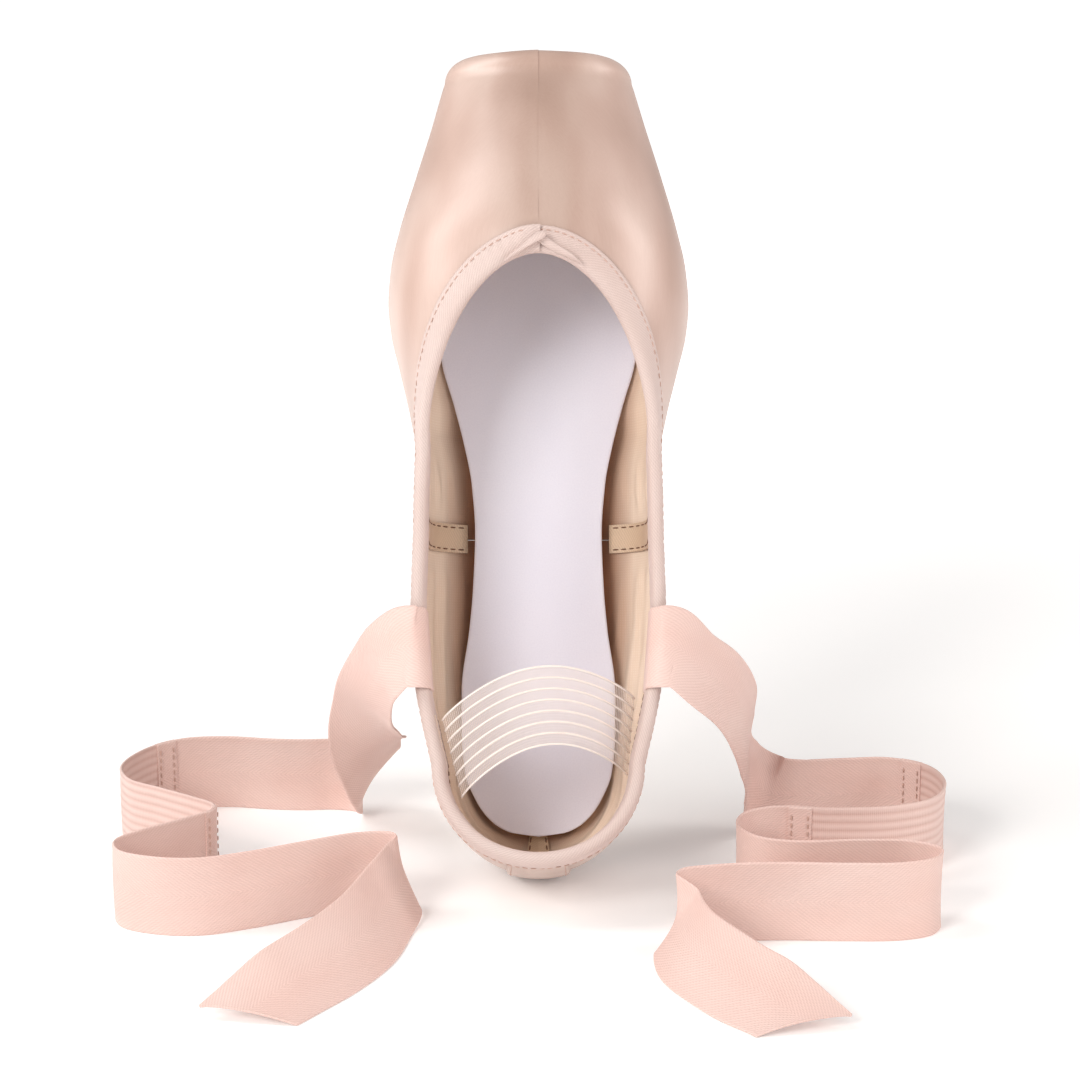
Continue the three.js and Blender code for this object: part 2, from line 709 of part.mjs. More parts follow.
// The smooth middle line of a ribbon, with the direction of its upper edge square to the line.
function ribbonTrack(route) {
  const places = route.map(([place]) => new THREE.Vector3(...place));
  const directions = route.map(([, up]) => new THREE.Vector3(...up).normalize());
  const middle = new THREE.CatmullRomCurve3(places, false, 'centripetal');
  const lift = new THREE.CatmullRomCurve3(directions, false, 'centripetal');
  middle.arcLengthDivisions = 600;
  return {
    length: middle.getLength(),
    at(distance) {
      const t = middle.getUtoTmapping(0, distance);
      const travel = middle.getTangent(t);
      const up = lift.getPoint(t);
      up.addScaledVector(travel, -up.dot(travel)).normalize();
      return { point: middle.getPoint(t), up, face: travel.clone().cross(up).normalize() };
    },
  };
}

// A stretch of ribbon; where tipLength is given, the edge that lies on the floor is cut away to a point.
function ribbonStretch(track, from, to, steps, tipLength = 0) {
  const rings = [];
  const leastTip = 0.06;
  for (let i = 0; i <= steps; i += 1) {
    const distance = Math.min(to, from + ((to - from) * i) / steps);
    const { point, up, face } = track.at(distance);
    const share = tipLength > 0 ? Math.max(leastTip, Math.min(1, (to - distance) / tipLength)) : 1;
    const kept = ribbonWidth * (share - 0.5);
    const top = point.clone().addScaledVector(up, up.z < 0 ? kept : ribbonWidth / 2);
    const bottom = point.clone().addScaledVector(up, up.z < 0 ? -ribbonWidth / 2 : -kept);
    const lowest = point.z - (Math.abs(up.z) * ribbonWidth + Math.abs(face.z) * ribbonThickness) / 2;
    const sunk = Math.min(0, lowest);
    bottom.z -= sunk;
    top.z -= sunk;
    const half = face.clone().multiplyScalar(ribbonThickness / 2);
    const lower = [bottom.clone().sub(half), bottom.clone().add(half)];
    rings.push([...lower, top.clone().add(half), top.clone().sub(half)]);
  }
  return sweptRings(rings);
}

function addRibbon(parent, sideName, route, [insertFrom, insertTo]) {
  const track = ribbonTrack(route);
  const end = track.length;
  const join = 0.2;
  const near = ribbonStretch(track, 0, insertFrom - join, 36);
  const insert = ribbonStretch(track, insertFrom + join, insertTo - join, 14);
  const far = ribbonStretch(track, insertTo + join, end, 60, ribbonTip);
  addMesh(parent, `ribbon_${sideName}_near`, near, 'ribbon');
  addMesh(parent, `ribbon_${sideName}_elastic_insert`, insert, 'elastic');
  addMesh(parent, `ribbon_${sideName}_far`, far, 'ribbon');
}

// ---- assembly ----

const shoe = new THREE.Group();
shoe.rotation.x = rightAngle - lean;
shoe.position.z = -heelLift;
addUpper(shoe);
addSeamTapes(shoe);
addHeelPatch(shoe);
addSole(shoe);
addBinding(shoe);
addDrawstringTails(shoe);
addElastic(shoe);
addElasticEnds(shoe);

const ribbons = new THREE.Group();
addRibbon(ribbons, 'left', leftRoute, insertPlaces.left);
addRibbon(ribbons, 'right', rightRoute, insertPlaces.right);

// The origin is the middle of the bottom of the whole slipper's box.
const slipper = new THREE.Group();
slipper.add(shoe, ribbons);
const bounds = new THREE.Box3().setFromObject(slipper, true);
const middle = bounds.getCenter(new THREE.Vector3());
slipper.position.set(-middle.x, -middle.y, -bounds.min.z);

export default slipper;
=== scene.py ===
"""A satin pointe shoe standing on its heel, dressed with cloth, stitches and ribbons round its CAD frame.

Shapes are worked out in millimetres in the shoe's lying frame: u across, v from heel to toe, w up from
the sole. The ribbons are worked out in the standing frame. Both are then moved into the row frame, in
metres. Every layer of the upper is cut from one skin, given by a station along the shoe and a level
round it: 0 under the sole, 1 at the widest point, 2 at the crown.
"""

import math

import bmesh
import bpy
import numpy as np
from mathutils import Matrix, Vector


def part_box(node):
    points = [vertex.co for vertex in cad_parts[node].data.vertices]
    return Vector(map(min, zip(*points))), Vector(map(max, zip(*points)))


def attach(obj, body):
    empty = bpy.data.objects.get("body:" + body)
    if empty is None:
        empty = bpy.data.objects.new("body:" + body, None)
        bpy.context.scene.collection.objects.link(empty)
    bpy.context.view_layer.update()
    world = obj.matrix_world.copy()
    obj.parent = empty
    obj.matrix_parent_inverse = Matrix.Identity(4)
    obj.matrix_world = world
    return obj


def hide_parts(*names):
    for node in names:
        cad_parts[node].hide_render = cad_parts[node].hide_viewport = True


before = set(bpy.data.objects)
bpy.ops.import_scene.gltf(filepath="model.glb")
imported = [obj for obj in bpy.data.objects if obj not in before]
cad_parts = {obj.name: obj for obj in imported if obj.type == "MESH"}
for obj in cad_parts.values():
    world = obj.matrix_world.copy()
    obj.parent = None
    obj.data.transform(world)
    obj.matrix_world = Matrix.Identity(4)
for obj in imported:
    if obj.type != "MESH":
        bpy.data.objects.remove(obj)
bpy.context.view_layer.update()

# ---- driving dimensions, in millimetres ----
LENGTH = 230.0
HEEL_CENTRE = 30.0
HEEL_ARC = 44.0
LEAN = math.radians(24)
PLATFORM_FILLET = 6.0
PLATFORM_SHRINK = 0.2
PLATFORM_START = LENGTH - PLATFORM_FILLET
SIDE_SEAM = 96.0
THROAT_START = 118.0
THROAT_REACH = 50.8
THROAT_HALF_WIDTH = 32.2
THROAT_SHAPE = 0.53
RIM_SWITCH = 122.0
SOLE_ROUNDNESS = 0.7
SATIN = 0.55
LINING_DEPTH = 1.3
LINING = 0.6
BOX_STEP = 2.4
BOX_START = 106
BOX_FROM_RIM = 11.5
BOX_DEPTH = 1.35
BOX = 1.4
TAPE = 0.4
TAPE_HALF_WIDTH = 4
TAPE_LOW_LEVEL = 0.34
TAPE_BELOW_RIM = 4.6
PATCH_HALF_WIDTH = 8.5
PATCH_LOW_LEVEL = 0.8
PATCH_BELOW_RIM = 4.2
PATCH_HEIGHT = 0.75
PATCH = 0.6
INSIDE_LINING = 2.7
RIBBON_WIDTH = 22.0
RIBBON_TIP = 12.0
RIBBON = 0.6
ELASTIC_HALF_WIDTH = 10.2
LASTED_WIDTH = 20
TOE_SPRING = 3
SEAM_GAP = 0.12
RIM_SPACING = 0.7
BINDING_OVERLAP = (2.5, 1.0)
BINDING_SEAM = (0.82, -3.45)
DRAWSTRING_PLACE = (-1.05, 1.0)
DRAWSTRING = 0.45
SOLE_STITCH_INSET = 3.2
TAPE_STITCH_INSET = 0.9
BACK_STITCH_INSET = 0.8
THREAD_HEIGHT = 0.62
RIGHT_ANGLE = math.pi / 2

# Each kind of stitch: its length, the pitch from one to the next and the thread's radius.
TAPE_STITCH = (1.7, 2.5, 0.2)
PATCH_STITCH = (1.3, 2.1, 0.14)
SOLE_STITCH = (2.2, 3.1, 0.24)
BINDING_STITCH = (1.5, 2.2, 0.16)
ELASTIC_STITCH = (1.3, 2.2, 0.2)
RIBBON_STITCH = (1.5, 2.3, 0.2)

HALF_WIDTH = [
    (30, 27.8), (42, 30.6), (52, 32.4), (73, 33.8), (94, 33.4), (113, 33.4), (127, 35.6), (141, 38.8),
    (151, 41.2), (160, 42.1), (169, 41.5), (180, 39.2), (196, 34.7), (210, 30.6), (222, 27.4), (230, 25),
]
CROWN = [
    (0, 90), (30, 165), (50, 170), (73, 150), (94, 135), (113, 108), (122, 88.5), (127, 76.8), (133, 67.7),
    (138, 63.3), (144, 60), (151, 58.2), (173, 57.5), (190, 53), (210, 44.5), (225, 36), (230, 33),
]
BULGE_HEIGHT = [(0, 20), (110, 20), (150, 22), (175, 22), (200, 20), (230, 18)]
RIM_HEIGHT = [(0, 50), (12, 50), (30, 47.5), (50, 45), (73, 43), (94, 42.5), (113, 43.5), (122, 46)]
OUTSOLE_HALF_WIDTH = [
    (10, 0), (11.5, 8.5), (15.5, 14), (24, 18.5), (35, 19.5), (50, 19), (70, 15.5), (90, 14.5), (110, 17),
    (130, 22), (150, 26), (165, 27), (180, 25.5), (193, 21), (202, 13), (207, 0),
]
INSOLE_HALF_WIDTH = [
    (12.3, 0), (13.5, 8), (17, 13.5), (22, 17.2), (30, 20.4), (40, 21.3), (53, 21.4), (70, 19.3), (82, 18.3),
    (97, 17.8), (111, 18.8), (122, 20.9), (134, 24), (146, 27.4), (160, 29), (175, 27.6), (188, 23),
    (194, 16), (197, 0),
]
INSOLE_HEIGHT = (8.4, 9.4)
OUTSOLE_HEIGHT = (-2.4, -0.4)


# ---- curves ----

def smooth_through(rows):
    """A smooth curve through (x, y) rows that never overshoots between them."""
    xs, ys = np.array(rows, float).T
    slopes = np.diff(ys) / np.diff(xs)
    tangents = np.empty(len(xs))
    tangents[0], tangents[-1] = slopes[0], slopes[-1]
    product = slopes[:-1] * slopes[1:]
    total = np.where(product > 0, slopes[:-1] + slopes[1:], 1)
    tangents[1:-1] = np.where(product > 0, 2 * product / total, 0)

    def value(x):
        x = np.asarray(x, float)
        i = np.clip(np.searchsorted(xs, x, side="right") - 1, 0, len(xs) - 2)
        span = xs[i + 1] - xs[i]
        t = np.clip((x - xs[i]) / span, 0, 1)
        rise = t * t * (3 - 2 * t)
        bend = span * t * (1 - t) * ((1 - t) * tangents[i] - t * tangents[i + 1])
        return ys[i] + rise * (ys[i + 1] - ys[i]) + bend

    return value


def eased(x, start, end):
    t = np.clip((np.asarray(x, float) - start) / (end - start), 0, 1)
    return t * t * (3 - 2 * t)


def unit(v):
    return v / np.maximum(np.linalg.norm(v, axis=-1, keepdims=True), 1e-12)


def distances_along(path):
    """How far along a path each of its points lies."""
    return np.concatenate([[0], np.cumsum(np.linalg.norm(np.diff(path, axis=0), axis=1))])


def read_at(distances, places, line):
    """A line of points or directions, known at some places, read at other distances."""
    return np.stack([np.interp(distances, places, line[:, k]) for k in range(3)], -1)


half_width_at = smooth_through(HALF_WIDTH)
crown_at = smooth_through(CROWN)
bulge_height_at = smooth_through(BULGE_HEIGHT)
rim_height_at = smooth_through(RIM_HEIGHT)


# ---- frames of reference ----

def turned(p):
    """From the lying frame to the standing frame's directions."""
    u, v, w = np.moveaxis(np.asarray(p, float), -1, 0)
    across = v * math.sin(LEAN) - w * math.cos(LEAN)
    upright = v * math.cos(LEAN) + w * math.sin(LEAN)
    return np.stack([u, across, upright], -1)


def find_shift():
    """The insole's CAD box fixes where the lying frame's origin is, in the row frame."""
    low, high = (np.array(corner) * 1000 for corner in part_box("insole_sock"))
    heel, toe = INSOLE_HALF_WIDTH[0][0], INSOLE_HALF_WIDTH[-1][0]
    lowest = turned([0, heel, INSOLE_HEIGHT[0]])[2]
    highest = turned([0, toe, INSOLE_HEIGHT[1]])[2]
    nearest = turned([0, heel, INSOLE_HEIGHT[1]])[1]
    furthest = turned([0, toe, INSOLE_HEIGHT[0]])[1]
    middle = (low + high) / 2
    return np.array([middle[0], middle[1] - (nearest + furthest) / 2, middle[2] - (lowest + highest) / 2])


SHIFT = find_shift()
HEEL_LIFT = -SHIFT[2]
FLOOR_SHIFT = np.array([SHIFT[0], SHIFT[1], 0.0])


def from_lying(p):
    return (turned(p) + SHIFT) / 1000


def from_standing(p):
    return (np.asarray(p, float) + FLOOR_SHIFT) / 1000


# ---- the skin of the shoe ----

def station_plane(station):
    angle = np.minimum(0, station / HEEL_ARC) * RIGHT_ANGLE
    centre = np.minimum(PLATFORM_START, HEEL_CENTRE + np.maximum(0, station))
    heel_radius = half_width_at(HEEL_CENTRE) + np.sin(angle) ** 2
    radius = np.where(station < 0, heel_radius, half_width_at(centre))
    distance = np.where(station < 0, HEEL_CENTRE * (1 + np.sin(angle)), centre)
    return angle, centre, radius, distance


def skin(station, level):
    """The point of the skin at a station and a level, on the shoe's right side."""
    station, level = np.broadcast_arrays(np.asarray(station, float), np.asarray(level, float))
    angle, centre, radius, distance = station_plane(station)
    lift = TOE_SPRING * eased(distance, 190, LENGTH)
    crown = crown_at(distance)
    bulge = bulge_height_at(distance) - lift
    lower = np.clip(level, 0, 1) * RIGHT_ANGLE
    upper = np.maximum(level - 1, 0) * RIGHT_ANGLE
    out = radius * np.sin(lower) ** SOLE_ROUNDNESS * np.maximum(0, np.cos(upper))
    height = lift + bulge * (1 - np.maximum(0, np.cos(lower)) ** SOLE_ROUNDNESS)
    height = height + (crown - lift - bulge) * np.sin(upper)
    past = HEEL_CENTRE + station - PLATFORM_START
    turn = np.clip(past / PLATFORM_FILLET, 0, 1) * RIGHT_ANGLE
    across = np.clip((past - PLATFORM_FILLET) / PLATFORM_FILLET, 0, 1)
    scale = (1 - PLATFORM_SHRINK * (1 - np.cos(turn))) * (1 - across)
    middle = (crown + lift) / 2
    out = out * scale
    height = middle + (height - middle) * scale
    forward = centre + PLATFORM_FILLET * np.sin(turn) + out * np.sin(angle)
    return np.stack([out * np.cos(angle), forward, height], -1)


PLATFORM_MIDDLE = PLATFORM_START - HEEL_CENTRE + 2 * PLATFORM_FILLET


def skin_normal(station, level):
    station, level = np.broadcast_arrays(np.asarray(station, float), np.asarray(level, float))
    inner_level = np.clip(level, 0.02, 1.98)
    along = skin(station + 0.4, inner_level) - skin(station - 0.4, inner_level)
    around = skin(station, inner_level + 0.02) - skin(station, inner_level - 0.02)
    normal = unit(np.cross(along, around))
    middle = (level < 0.02) | (level > 1.98)
    normal[middle, 0] = 0
    normal[station >= PLATFORM_MIDDLE - PLATFORM_FILLET] = (0, 1, 0)
    return unit(normal)


def rim_level(station):
    """The level at which the upper is cut away for the foot, 2 where the vamp is closed."""
    distance = station_plane(np.asarray(station, float))[3]
    lift = bulge_height_at(distance)
    sine = (rim_height_at(distance) - lift) / (crown_at(distance) - lift)
    behind = 1 + np.arcsin(np.clip(sine, 0, 1)) / RIGHT_ANGLE
    reach = np.clip((distance - THROAT_START) / THROAT_REACH, 0, 1)
    across = THROAT_HALF_WIDTH * (1 - reach**2) ** THROAT_SHAPE
    ahead = 1 + np.arccos(np.clip(across / half_width_at(distance), 0, 1)) / RIGHT_ANGLE
    return np.where(distance <= RIM_SWITCH, behind, ahead)


def level_below_rim(station, drop):
    """The level that is the given height below the rim, behind the throat."""
    distance = station_plane(np.asarray(station, float))[3]
    lift = bulge_height_at(distance)
    return 1 + np.arcsin((rim_height_at(distance) - drop - lift) / (crown_at(distance) - lift)) / RIGHT_ANGLE


def lasted_level(station):
    """The level of a layer's lower edge, drawn in under the sole and closed ahead of it."""
    _, _, radius, distance = station_plane(np.asarray(station, float))
    share = np.maximum(0, (radius - LASTED_WIDTH - eased(distance, 190, 204) * radius) / radius)
    return np.arcsin(share ** (1 / SOLE_ROUNDNESS)) / RIGHT_ANGLE


def throat_stations(count):
    start = (RIM_SWITCH - THROAT_START) / THROAT_REACH
    reach = np.sin(np.linspace(0, 1, count) * RIGHT_ANGLE)
    return THROAT_START + THROAT_REACH * (start + (1 - start) * reach) - HEEL_CENTRE


SEAM_STATION = SIDE_SEAM - HEEL_CENTRE
BEHIND_SEAM = np.concatenate([np.linspace(-HEEL_ARC, 0, 45), np.arange(1.5, SEAM_STATION - 1, 1.5)])
AHEAD_OF_SEAM = np.arange(SEAM_STATION + 1.5, RIM_SWITCH - HEEL_CENTRE - 0.5, 1.5)
RIM_STATIONS = np.concatenate([BEHIND_SEAM, AHEAD_OF_SEAM, throat_stations(44)])
RIM_POINTS = skin(RIM_STATIONS, rim_level(RIM_STATIONS))
TOE_STATIONS = np.concatenate([
    np.arange(170.5, PLATFORM_START - 1, 1.5),
    PLATFORM_START + PLATFORM_FILLET * np.linspace(0, 1, 9),
    PLATFORM_START + PLATFORM_FILLET * (1 + np.linspace(0.15, 1, 7)),
]) - HEEL_CENTRE
VAMP_STATIONS = np.concatenate([[SEAM_STATION + SEAM_GAP], AHEAD_OF_SEAM, throat_stations(44), TOE_STATIONS])
QUARTER_STATIONS = np.concatenate([[-HEEL_ARC + SEAM_GAP], BEHIND_SEAM[1:], [SEAM_STATION - SEAM_GAP]])


def rim_distance(points):
    mirrored = np.abs(points) * (1, 0, 0) + points * (0, 1, 1)
    flat = mirrored.reshape(-1, 3)
    near = np.array([np.min(np.linalg.norm(RIM_POINTS - p, axis=1)) for p in flat])
    return near.reshape(points.shape[:-1])


# ---- making meshes ----

def new_object(name, points, faces, coords, material, convert=from_lying, weld=False, sharp=None):
    """A closed mesh with its cloth coordinates: millimetres along and across it, and its height or 0."""
    mesh = bpy.data.meshes.new(name)
    mesh.from_pydata(convert(points).tolist(), [], faces)
    attribute = mesh.attributes.new("cloth", "FLOAT_VECTOR", "POINT")
    attribute.data.foreach_set("vector", np.asarray(coords, np.float32).ravel())
    body = bmesh.new()
    body.from_mesh(mesh)
    if weld:
        bmesh.ops.remove_doubles(body, verts=body.verts, dist=1e-5)
        bmesh.ops.dissolve_degenerate(body, edges=body.edges, dist=1e-6)
    bmesh.ops.recalc_face_normals(body, faces=body.faces)
    body.to_mesh(mesh)
    body.free()
    mesh.shade_smooth()
    if sharp:
        mesh.set_sharp_from_angle(angle=math.radians(sharp))
    piece = bpy.data.objects.new(name, mesh)
    bpy.context.scene.collection.objects.link(piece)
    piece.data.materials.append(material)
    return piece


def grid_faces(rows, columns, start=0, covered=None):
    faces = []
    for i in range(rows - 1):
        for j in range(columns - 1):
            a = start + i * columns + j
            quad = (a, a + 1, a + columns + 1, a + columns)
            if covered is None or all(covered[k - start] for k in quad):
                faces.append(quad)
    return faces


def ring_faces(count, size, start=0):
    """The walls between rings of points, and a flat cap at each end."""
    faces = []
    for i in range(count - 1):
        for j in range(size):
            a, b = start + i * size + j, start + i * size + (j + 1) % size
            faces.append((a, b, b + size, a + size))
    last = start + (count - 1) * size
    faces.append(tuple(range(start + size - 1, start - 1, -1)))
    faces.append(tuple(range(last, last + size)))
    return faces


def closed_sheet(outer, inner, faces):
    """Both faces of a sheet and the walls along its open edges."""
    count = len(outer)
    seen = {}
    for face in faces:
        for a, b in zip(face, face[1:] + face[:1]):
            seen[(a, b)] = True
    solid = list(faces) + [tuple(i + count for i in reversed(face)) for face in faces]
    for a, b in seen:
        if (b, a) not in seen:
            solid.append((b, a, a + count, b + count))
    return np.concatenate([outer, inner]), solid


def weld_shared(outer, inner, faces):
    """Joins points of the outer face that coincide, and the same points of the inner face."""
    keys = np.round(outer, 3)
    _, first, inverse = np.unique(keys, axis=0, return_index=True, return_inverse=True)
    inverse = inverse.ravel()
    joined = []
    for face in faces:
        ids = []
        for i in (int(inverse[k]) for k in face):
            if i not in ids:
                ids.append(i)
        if len(ids) > 2:
            joined.append(tuple(ids))
    return outer[first], inner[first], joined, first


def at_level(level):
    return lambda stations: level + 0 * stations


def skin_layer(name, stations, low, high, depth, thickness, columns, sides, material, keep=None, relief=None):
    """A layer at a depth below the skin; relief adds to the depth as a function of place."""
    outer, inner, coords, faces = [], [], [], []
    start = 0
    shares = np.linspace(0, 1, columns + 1)
    lows = np.asarray(low(stations), float) * np.ones(len(stations))
    highs = np.asarray(high(stations), float) * np.ones(len(stations))
    level = lows[:, None] + (highs - lows)[:, None] * shares
    station = np.repeat(stations[:, None], columns + 1, 1)
    point = skin(station, level)
    normal = skin_normal(station, level)
    steps = np.linalg.norm(np.diff(point, axis=1), axis=2)
    around = np.concatenate([np.zeros((len(stations), 1)), np.cumsum(steps, 1)], 1)
    on_middle = (level < 1e-6) | (level > 2 - 1e-6)
    covered = None if keep is None else keep(point, station).ravel()
    for side in sides:
        extra = 0 if relief is None else relief(point, station, level, side)
        deep = (depth(point, station) if callable(depth) else depth) + extra
        for group, add in ((outer, 0), (inner, thickness)):
            moved = point - normal * (deep + add + 0 * level)[..., None]
            moved[..., 0] = np.where(on_middle, 0, moved[..., 0] * side)
            group.append(moved.reshape(-1, 3))
        coords.append(np.stack([station, side * around, point[..., 2]], -1).reshape(-1, 3))
        faces += [f if side > 0 else f[::-1] for f in grid_faces(len(stations), columns + 1, start, covered)]
        start += level.size
    outer, inner, coords = (np.concatenate(group) for group in (outer, inner, coords))
    outer, inner, faces, first = weld_shared(outer, inner, faces)
    points, solid = closed_sheet(outer, inner, faces)
    used = sorted({i for face in solid for i in face})
    index = {old: new for new, old in enumerate(used)}
    solid = [tuple(index[i] for i in face) for face in solid]
    both = np.concatenate([coords[first], coords[first]])
    return new_object(name, points[used], solid, both[used], material, sharp=50)


def swept(name, rings, coords, material, convert=from_lying, sharp=50):
    """A solid swept through rings of points, with flat caps."""
    rings = np.asarray(rings)
    faces = ring_faces(*rings.shape[:2])
    flat = np.asarray(coords).reshape(-1, 3)
    return new_object(name, rings.reshape(-1, 3), faces, flat, material, convert, sharp=sharp)


def across_directions(path):
    """Two directions square to a path, turning as little as possible along it."""
    travel = unit(np.gradient(path, axis=0))
    side = np.cross(travel[0], (0.31, 0.22, 0.92))
    sides = []
    for direction in travel:
        side = side - direction * np.dot(side, direction)
        side = side / np.linalg.norm(side)
        sides.append(side)
    sides = np.array(sides)
    return sides, np.cross(travel, sides)


def tube_rings(path, radius, segments, flatten=1.0, twist=0.0):
    """Rings of points round a path and their cloth coordinates; flatten thins the cord one way."""
    sides, ups = across_directions(path)
    along = distances_along(path)[:, None]
    radius = np.broadcast_to(radius, len(path))[:, None]
    angles = np.arange(segments) / segments * 2 * math.pi
    spin = twist * along
    wide = np.cos(angles) * radius
    thin = np.sin(angles) * radius * flatten
    a = wide * np.cos(spin) - thin * np.sin(spin)
    b = wide * np.sin(spin) + thin * np.cos(spin)
    rings = path[:, None] + sides[:, None] * a[..., None] + ups[:, None] * b[..., None]
    around = np.broadcast_to(angles * np.mean(radius), a.shape)
    return rings, np.stack([np.broadcast_to(along, a.shape), around, 0 * a], -1)


def tube(name, path, radius, material, segments=8, flatten=1.0, twist=0.0):
    """A cord along a path, in millimetres; its radius may vary along it."""
    return swept(name, *tube_rings(path, radius, segments, flatten, twist), material)


# A stitch's outline: how far along it each ring is, and that ring's share of the thread's radius.
STITCH_RINGS = [(-0.5, 0.25), (-0.38, 0.85), (-0.15, 1.0), (0.15, 1.0), (0.38, 0.85), (0.5, 0.25)]


def stitches(name, rows, sizes, material, convert=from_lying):
    """Rows of raised stitches, each a path with its outward normals; sizes are length, pitch and radius."""
    length, pitch, radius = sizes
    points, faces, coords = [], [], []
    sides = 6
    angles = np.arange(sides) / sides * 2 * math.pi
    for path, normals in rows:
        places = distances_along(path)
        centres = np.arange(pitch / 2, places[-1] - length / 2, pitch)
        middles = read_at(centres, places, path)
        outward = unit(read_at(centres, places, normals))
        travel = unit(read_at(centres + 0.3, places, path) - middles)
        for middle, direction, up in zip(middles, travel, outward):
            side = np.cross(direction, up)
            start = len(points)
            for share, size in STITCH_RINGS:
                sink = -0.35 * radius if abs(share) > 0.4 else 0.15 * radius
                centre = middle + direction * share * length + up * sink
                for angle in angles:
                    offset = side * math.cos(angle) + up * math.sin(angle)
                    points.append(centre + offset * radius * size)
                    coords.append((share * length, angle, 0))
            faces += ring_faces(len(STITCH_RINGS), sides, start)
    return new_object(name, points, faces, coords, material, convert)


# ---- materials ----

def linear(red, green, blue):
    """Linear light from a colour given as everyday 0 to 255 values."""
    shares = [value / 255 for value in (red, green, blue)]
    return tuple(s / 12.92 if s <= 0.04045 else ((s + 0.055) / 1.055) ** 2.4 for s in shares) + (1.0,)


class Look:
    """A procedural material under construction, with short names for the nodes that are used most."""

    def __init__(self, name, roughness, sheen=0.0, tint=(255, 240, 232), specular=0.5, bare=False):
        self.material = bpy.data.materials.new(name)
        self.material.use_nodes = True
        self.tree = self.material.node_tree
        self.shader = self.tree.nodes["Principled BSDF"]
        self.shader.inputs["Roughness"].default_value = roughness
        self.shader.inputs["Specular IOR Level"].default_value = specular
        self.shader.inputs["Sheen Weight"].default_value = sheen
        self.shader.inputs["Sheen Roughness"].default_value = 0.45
        self.shader.inputs["Sheen Tint"].default_value = linear(*tint)
        self.place = self.object_place() if bare else self.cloth_place()

    def node(self, kind, **values):
        made = self.tree.nodes.new(kind)
        for key, value in values.items():
            setattr(made, key, value)
        return made

    def link(self, source, target):
        self.tree.links.new(source, target)

    def cloth_place(self):
        return self.node("ShaderNodeAttribute", attribute_name="cloth").outputs["Vector"]

    def object_place(self):
        scaled = self.node("ShaderNodeVectorMath", operation="SCALE")
        self.link(self.node("ShaderNodeTexCoord").outputs["Object"], scaled.inputs[0])
        scaled.inputs["Scale"].default_value = 1000
        return scaled.outputs[0]

    def math(self, operation, *terms):
        made = self.node("ShaderNodeMath", operation=operation)
        for slot, term in zip(made.inputs, terms):
            if isinstance(term, (int, float)):
                slot.default_value = term
            else:
                self.link(term, slot)
        return made.outputs[0]

    def axes(self, place=None):
        split = self.node("ShaderNodeSeparateXYZ")
        self.link(place or self.place, split.inputs[0])
        return split.outputs

    def noise(self, scale, stretch=(1, 1, 1), detail=3.0, rough=0.5, place=None):
        """Soft noise; scale is features per millimetre, and stretch lengthens them along an axis."""
        mapping = self.node("ShaderNodeMapping")
        mapping.inputs["Scale"].default_value = [1 / s for s in stretch]
        self.link(place or self.place, mapping.inputs[0])
        made = self.node("ShaderNodeTexNoise")
        made.inputs["Scale"].default_value = scale
        made.inputs["Detail"].default_value = detail
        made.inputs["Roughness"].default_value = rough
        self.link(mapping.outputs[0], made.inputs["Vector"])
        return made.outputs[0]

    def wave(self, value, pitch, sharpness=1.0):
        """Ridges of the given pitch along a value, from 0 to 1."""
        phase = self.math("MULTIPLY", value, 2 * math.pi / pitch)
        ridge = self.math("MULTIPLY_ADD", self.math("SINE", phase), 0.5, 0.5)
        return ridge if sharpness == 1.0 else self.math("POWER", ridge, sharpness)

    def ramp(self, value, *stops):
        """A blend of colours, each given from 0 to 255, with its place along the value."""
        made = self.node("ShaderNodeValToRGB")
        elements = made.color_ramp.elements
        while len(elements) < len(stops):
            elements.new(0.5)
        for element, (place, colour) in zip(elements, stops):
            element.position = place
            element.color = linear(*colour)
        self.link(value, made.inputs[0])
        return made.outputs[0]

    def mixed(self, share, first, second, blend="MIX"):
        made = self.node("ShaderNodeMix", data_type="RGBA", blend_type=blend)
        for slot, term in ((made.inputs[0], share), (made.inputs[6], first), (made.inputs[7], second)):
            if isinstance(term, (int, float, tuple)):
                slot.default_value = term
            else:
                self.link(term, slot)
        return made.outputs[2]

    def colour(self, output):
        self.link(output, self.shader.inputs["Base Color"])

    def roughness(self, value, low, high):
        spread = self.node("ShaderNodeMapRange")
        spread.inputs["To Min"].default_value = low
        spread.inputs["To Max"].default_value = high
        self.link(value, spread.inputs[0])
        self.link(spread.outputs[0], self.shader.inputs["Roughness"])

    def bump(self, *layers):
        """Relief from (height, strength, distance in millimetres) layers, coarse ones first."""
        before = None
        for height, strength, distance in layers:
            made = self.node("ShaderNodeBump")
            made.inputs["Strength"].default_value = strength
            made.inputs["Distance"].default_value = distance / 1000
            self.link(height, made.inputs["Height"])
            if before is not None:
                self.link(before, made.inputs["Normal"])
            before = made.outputs[0]
        self.link(before, self.shader.inputs["Normal"])


# Painted shade: the satin is darkened in a band down its middle, standing in for the dark streak between the
# glints of the two side lights; where that band's centre is and how far it reaches, in millimetres.
SATIN_SHADE_MIDDLE = 4
SATIN_SHADE_REACH = 32


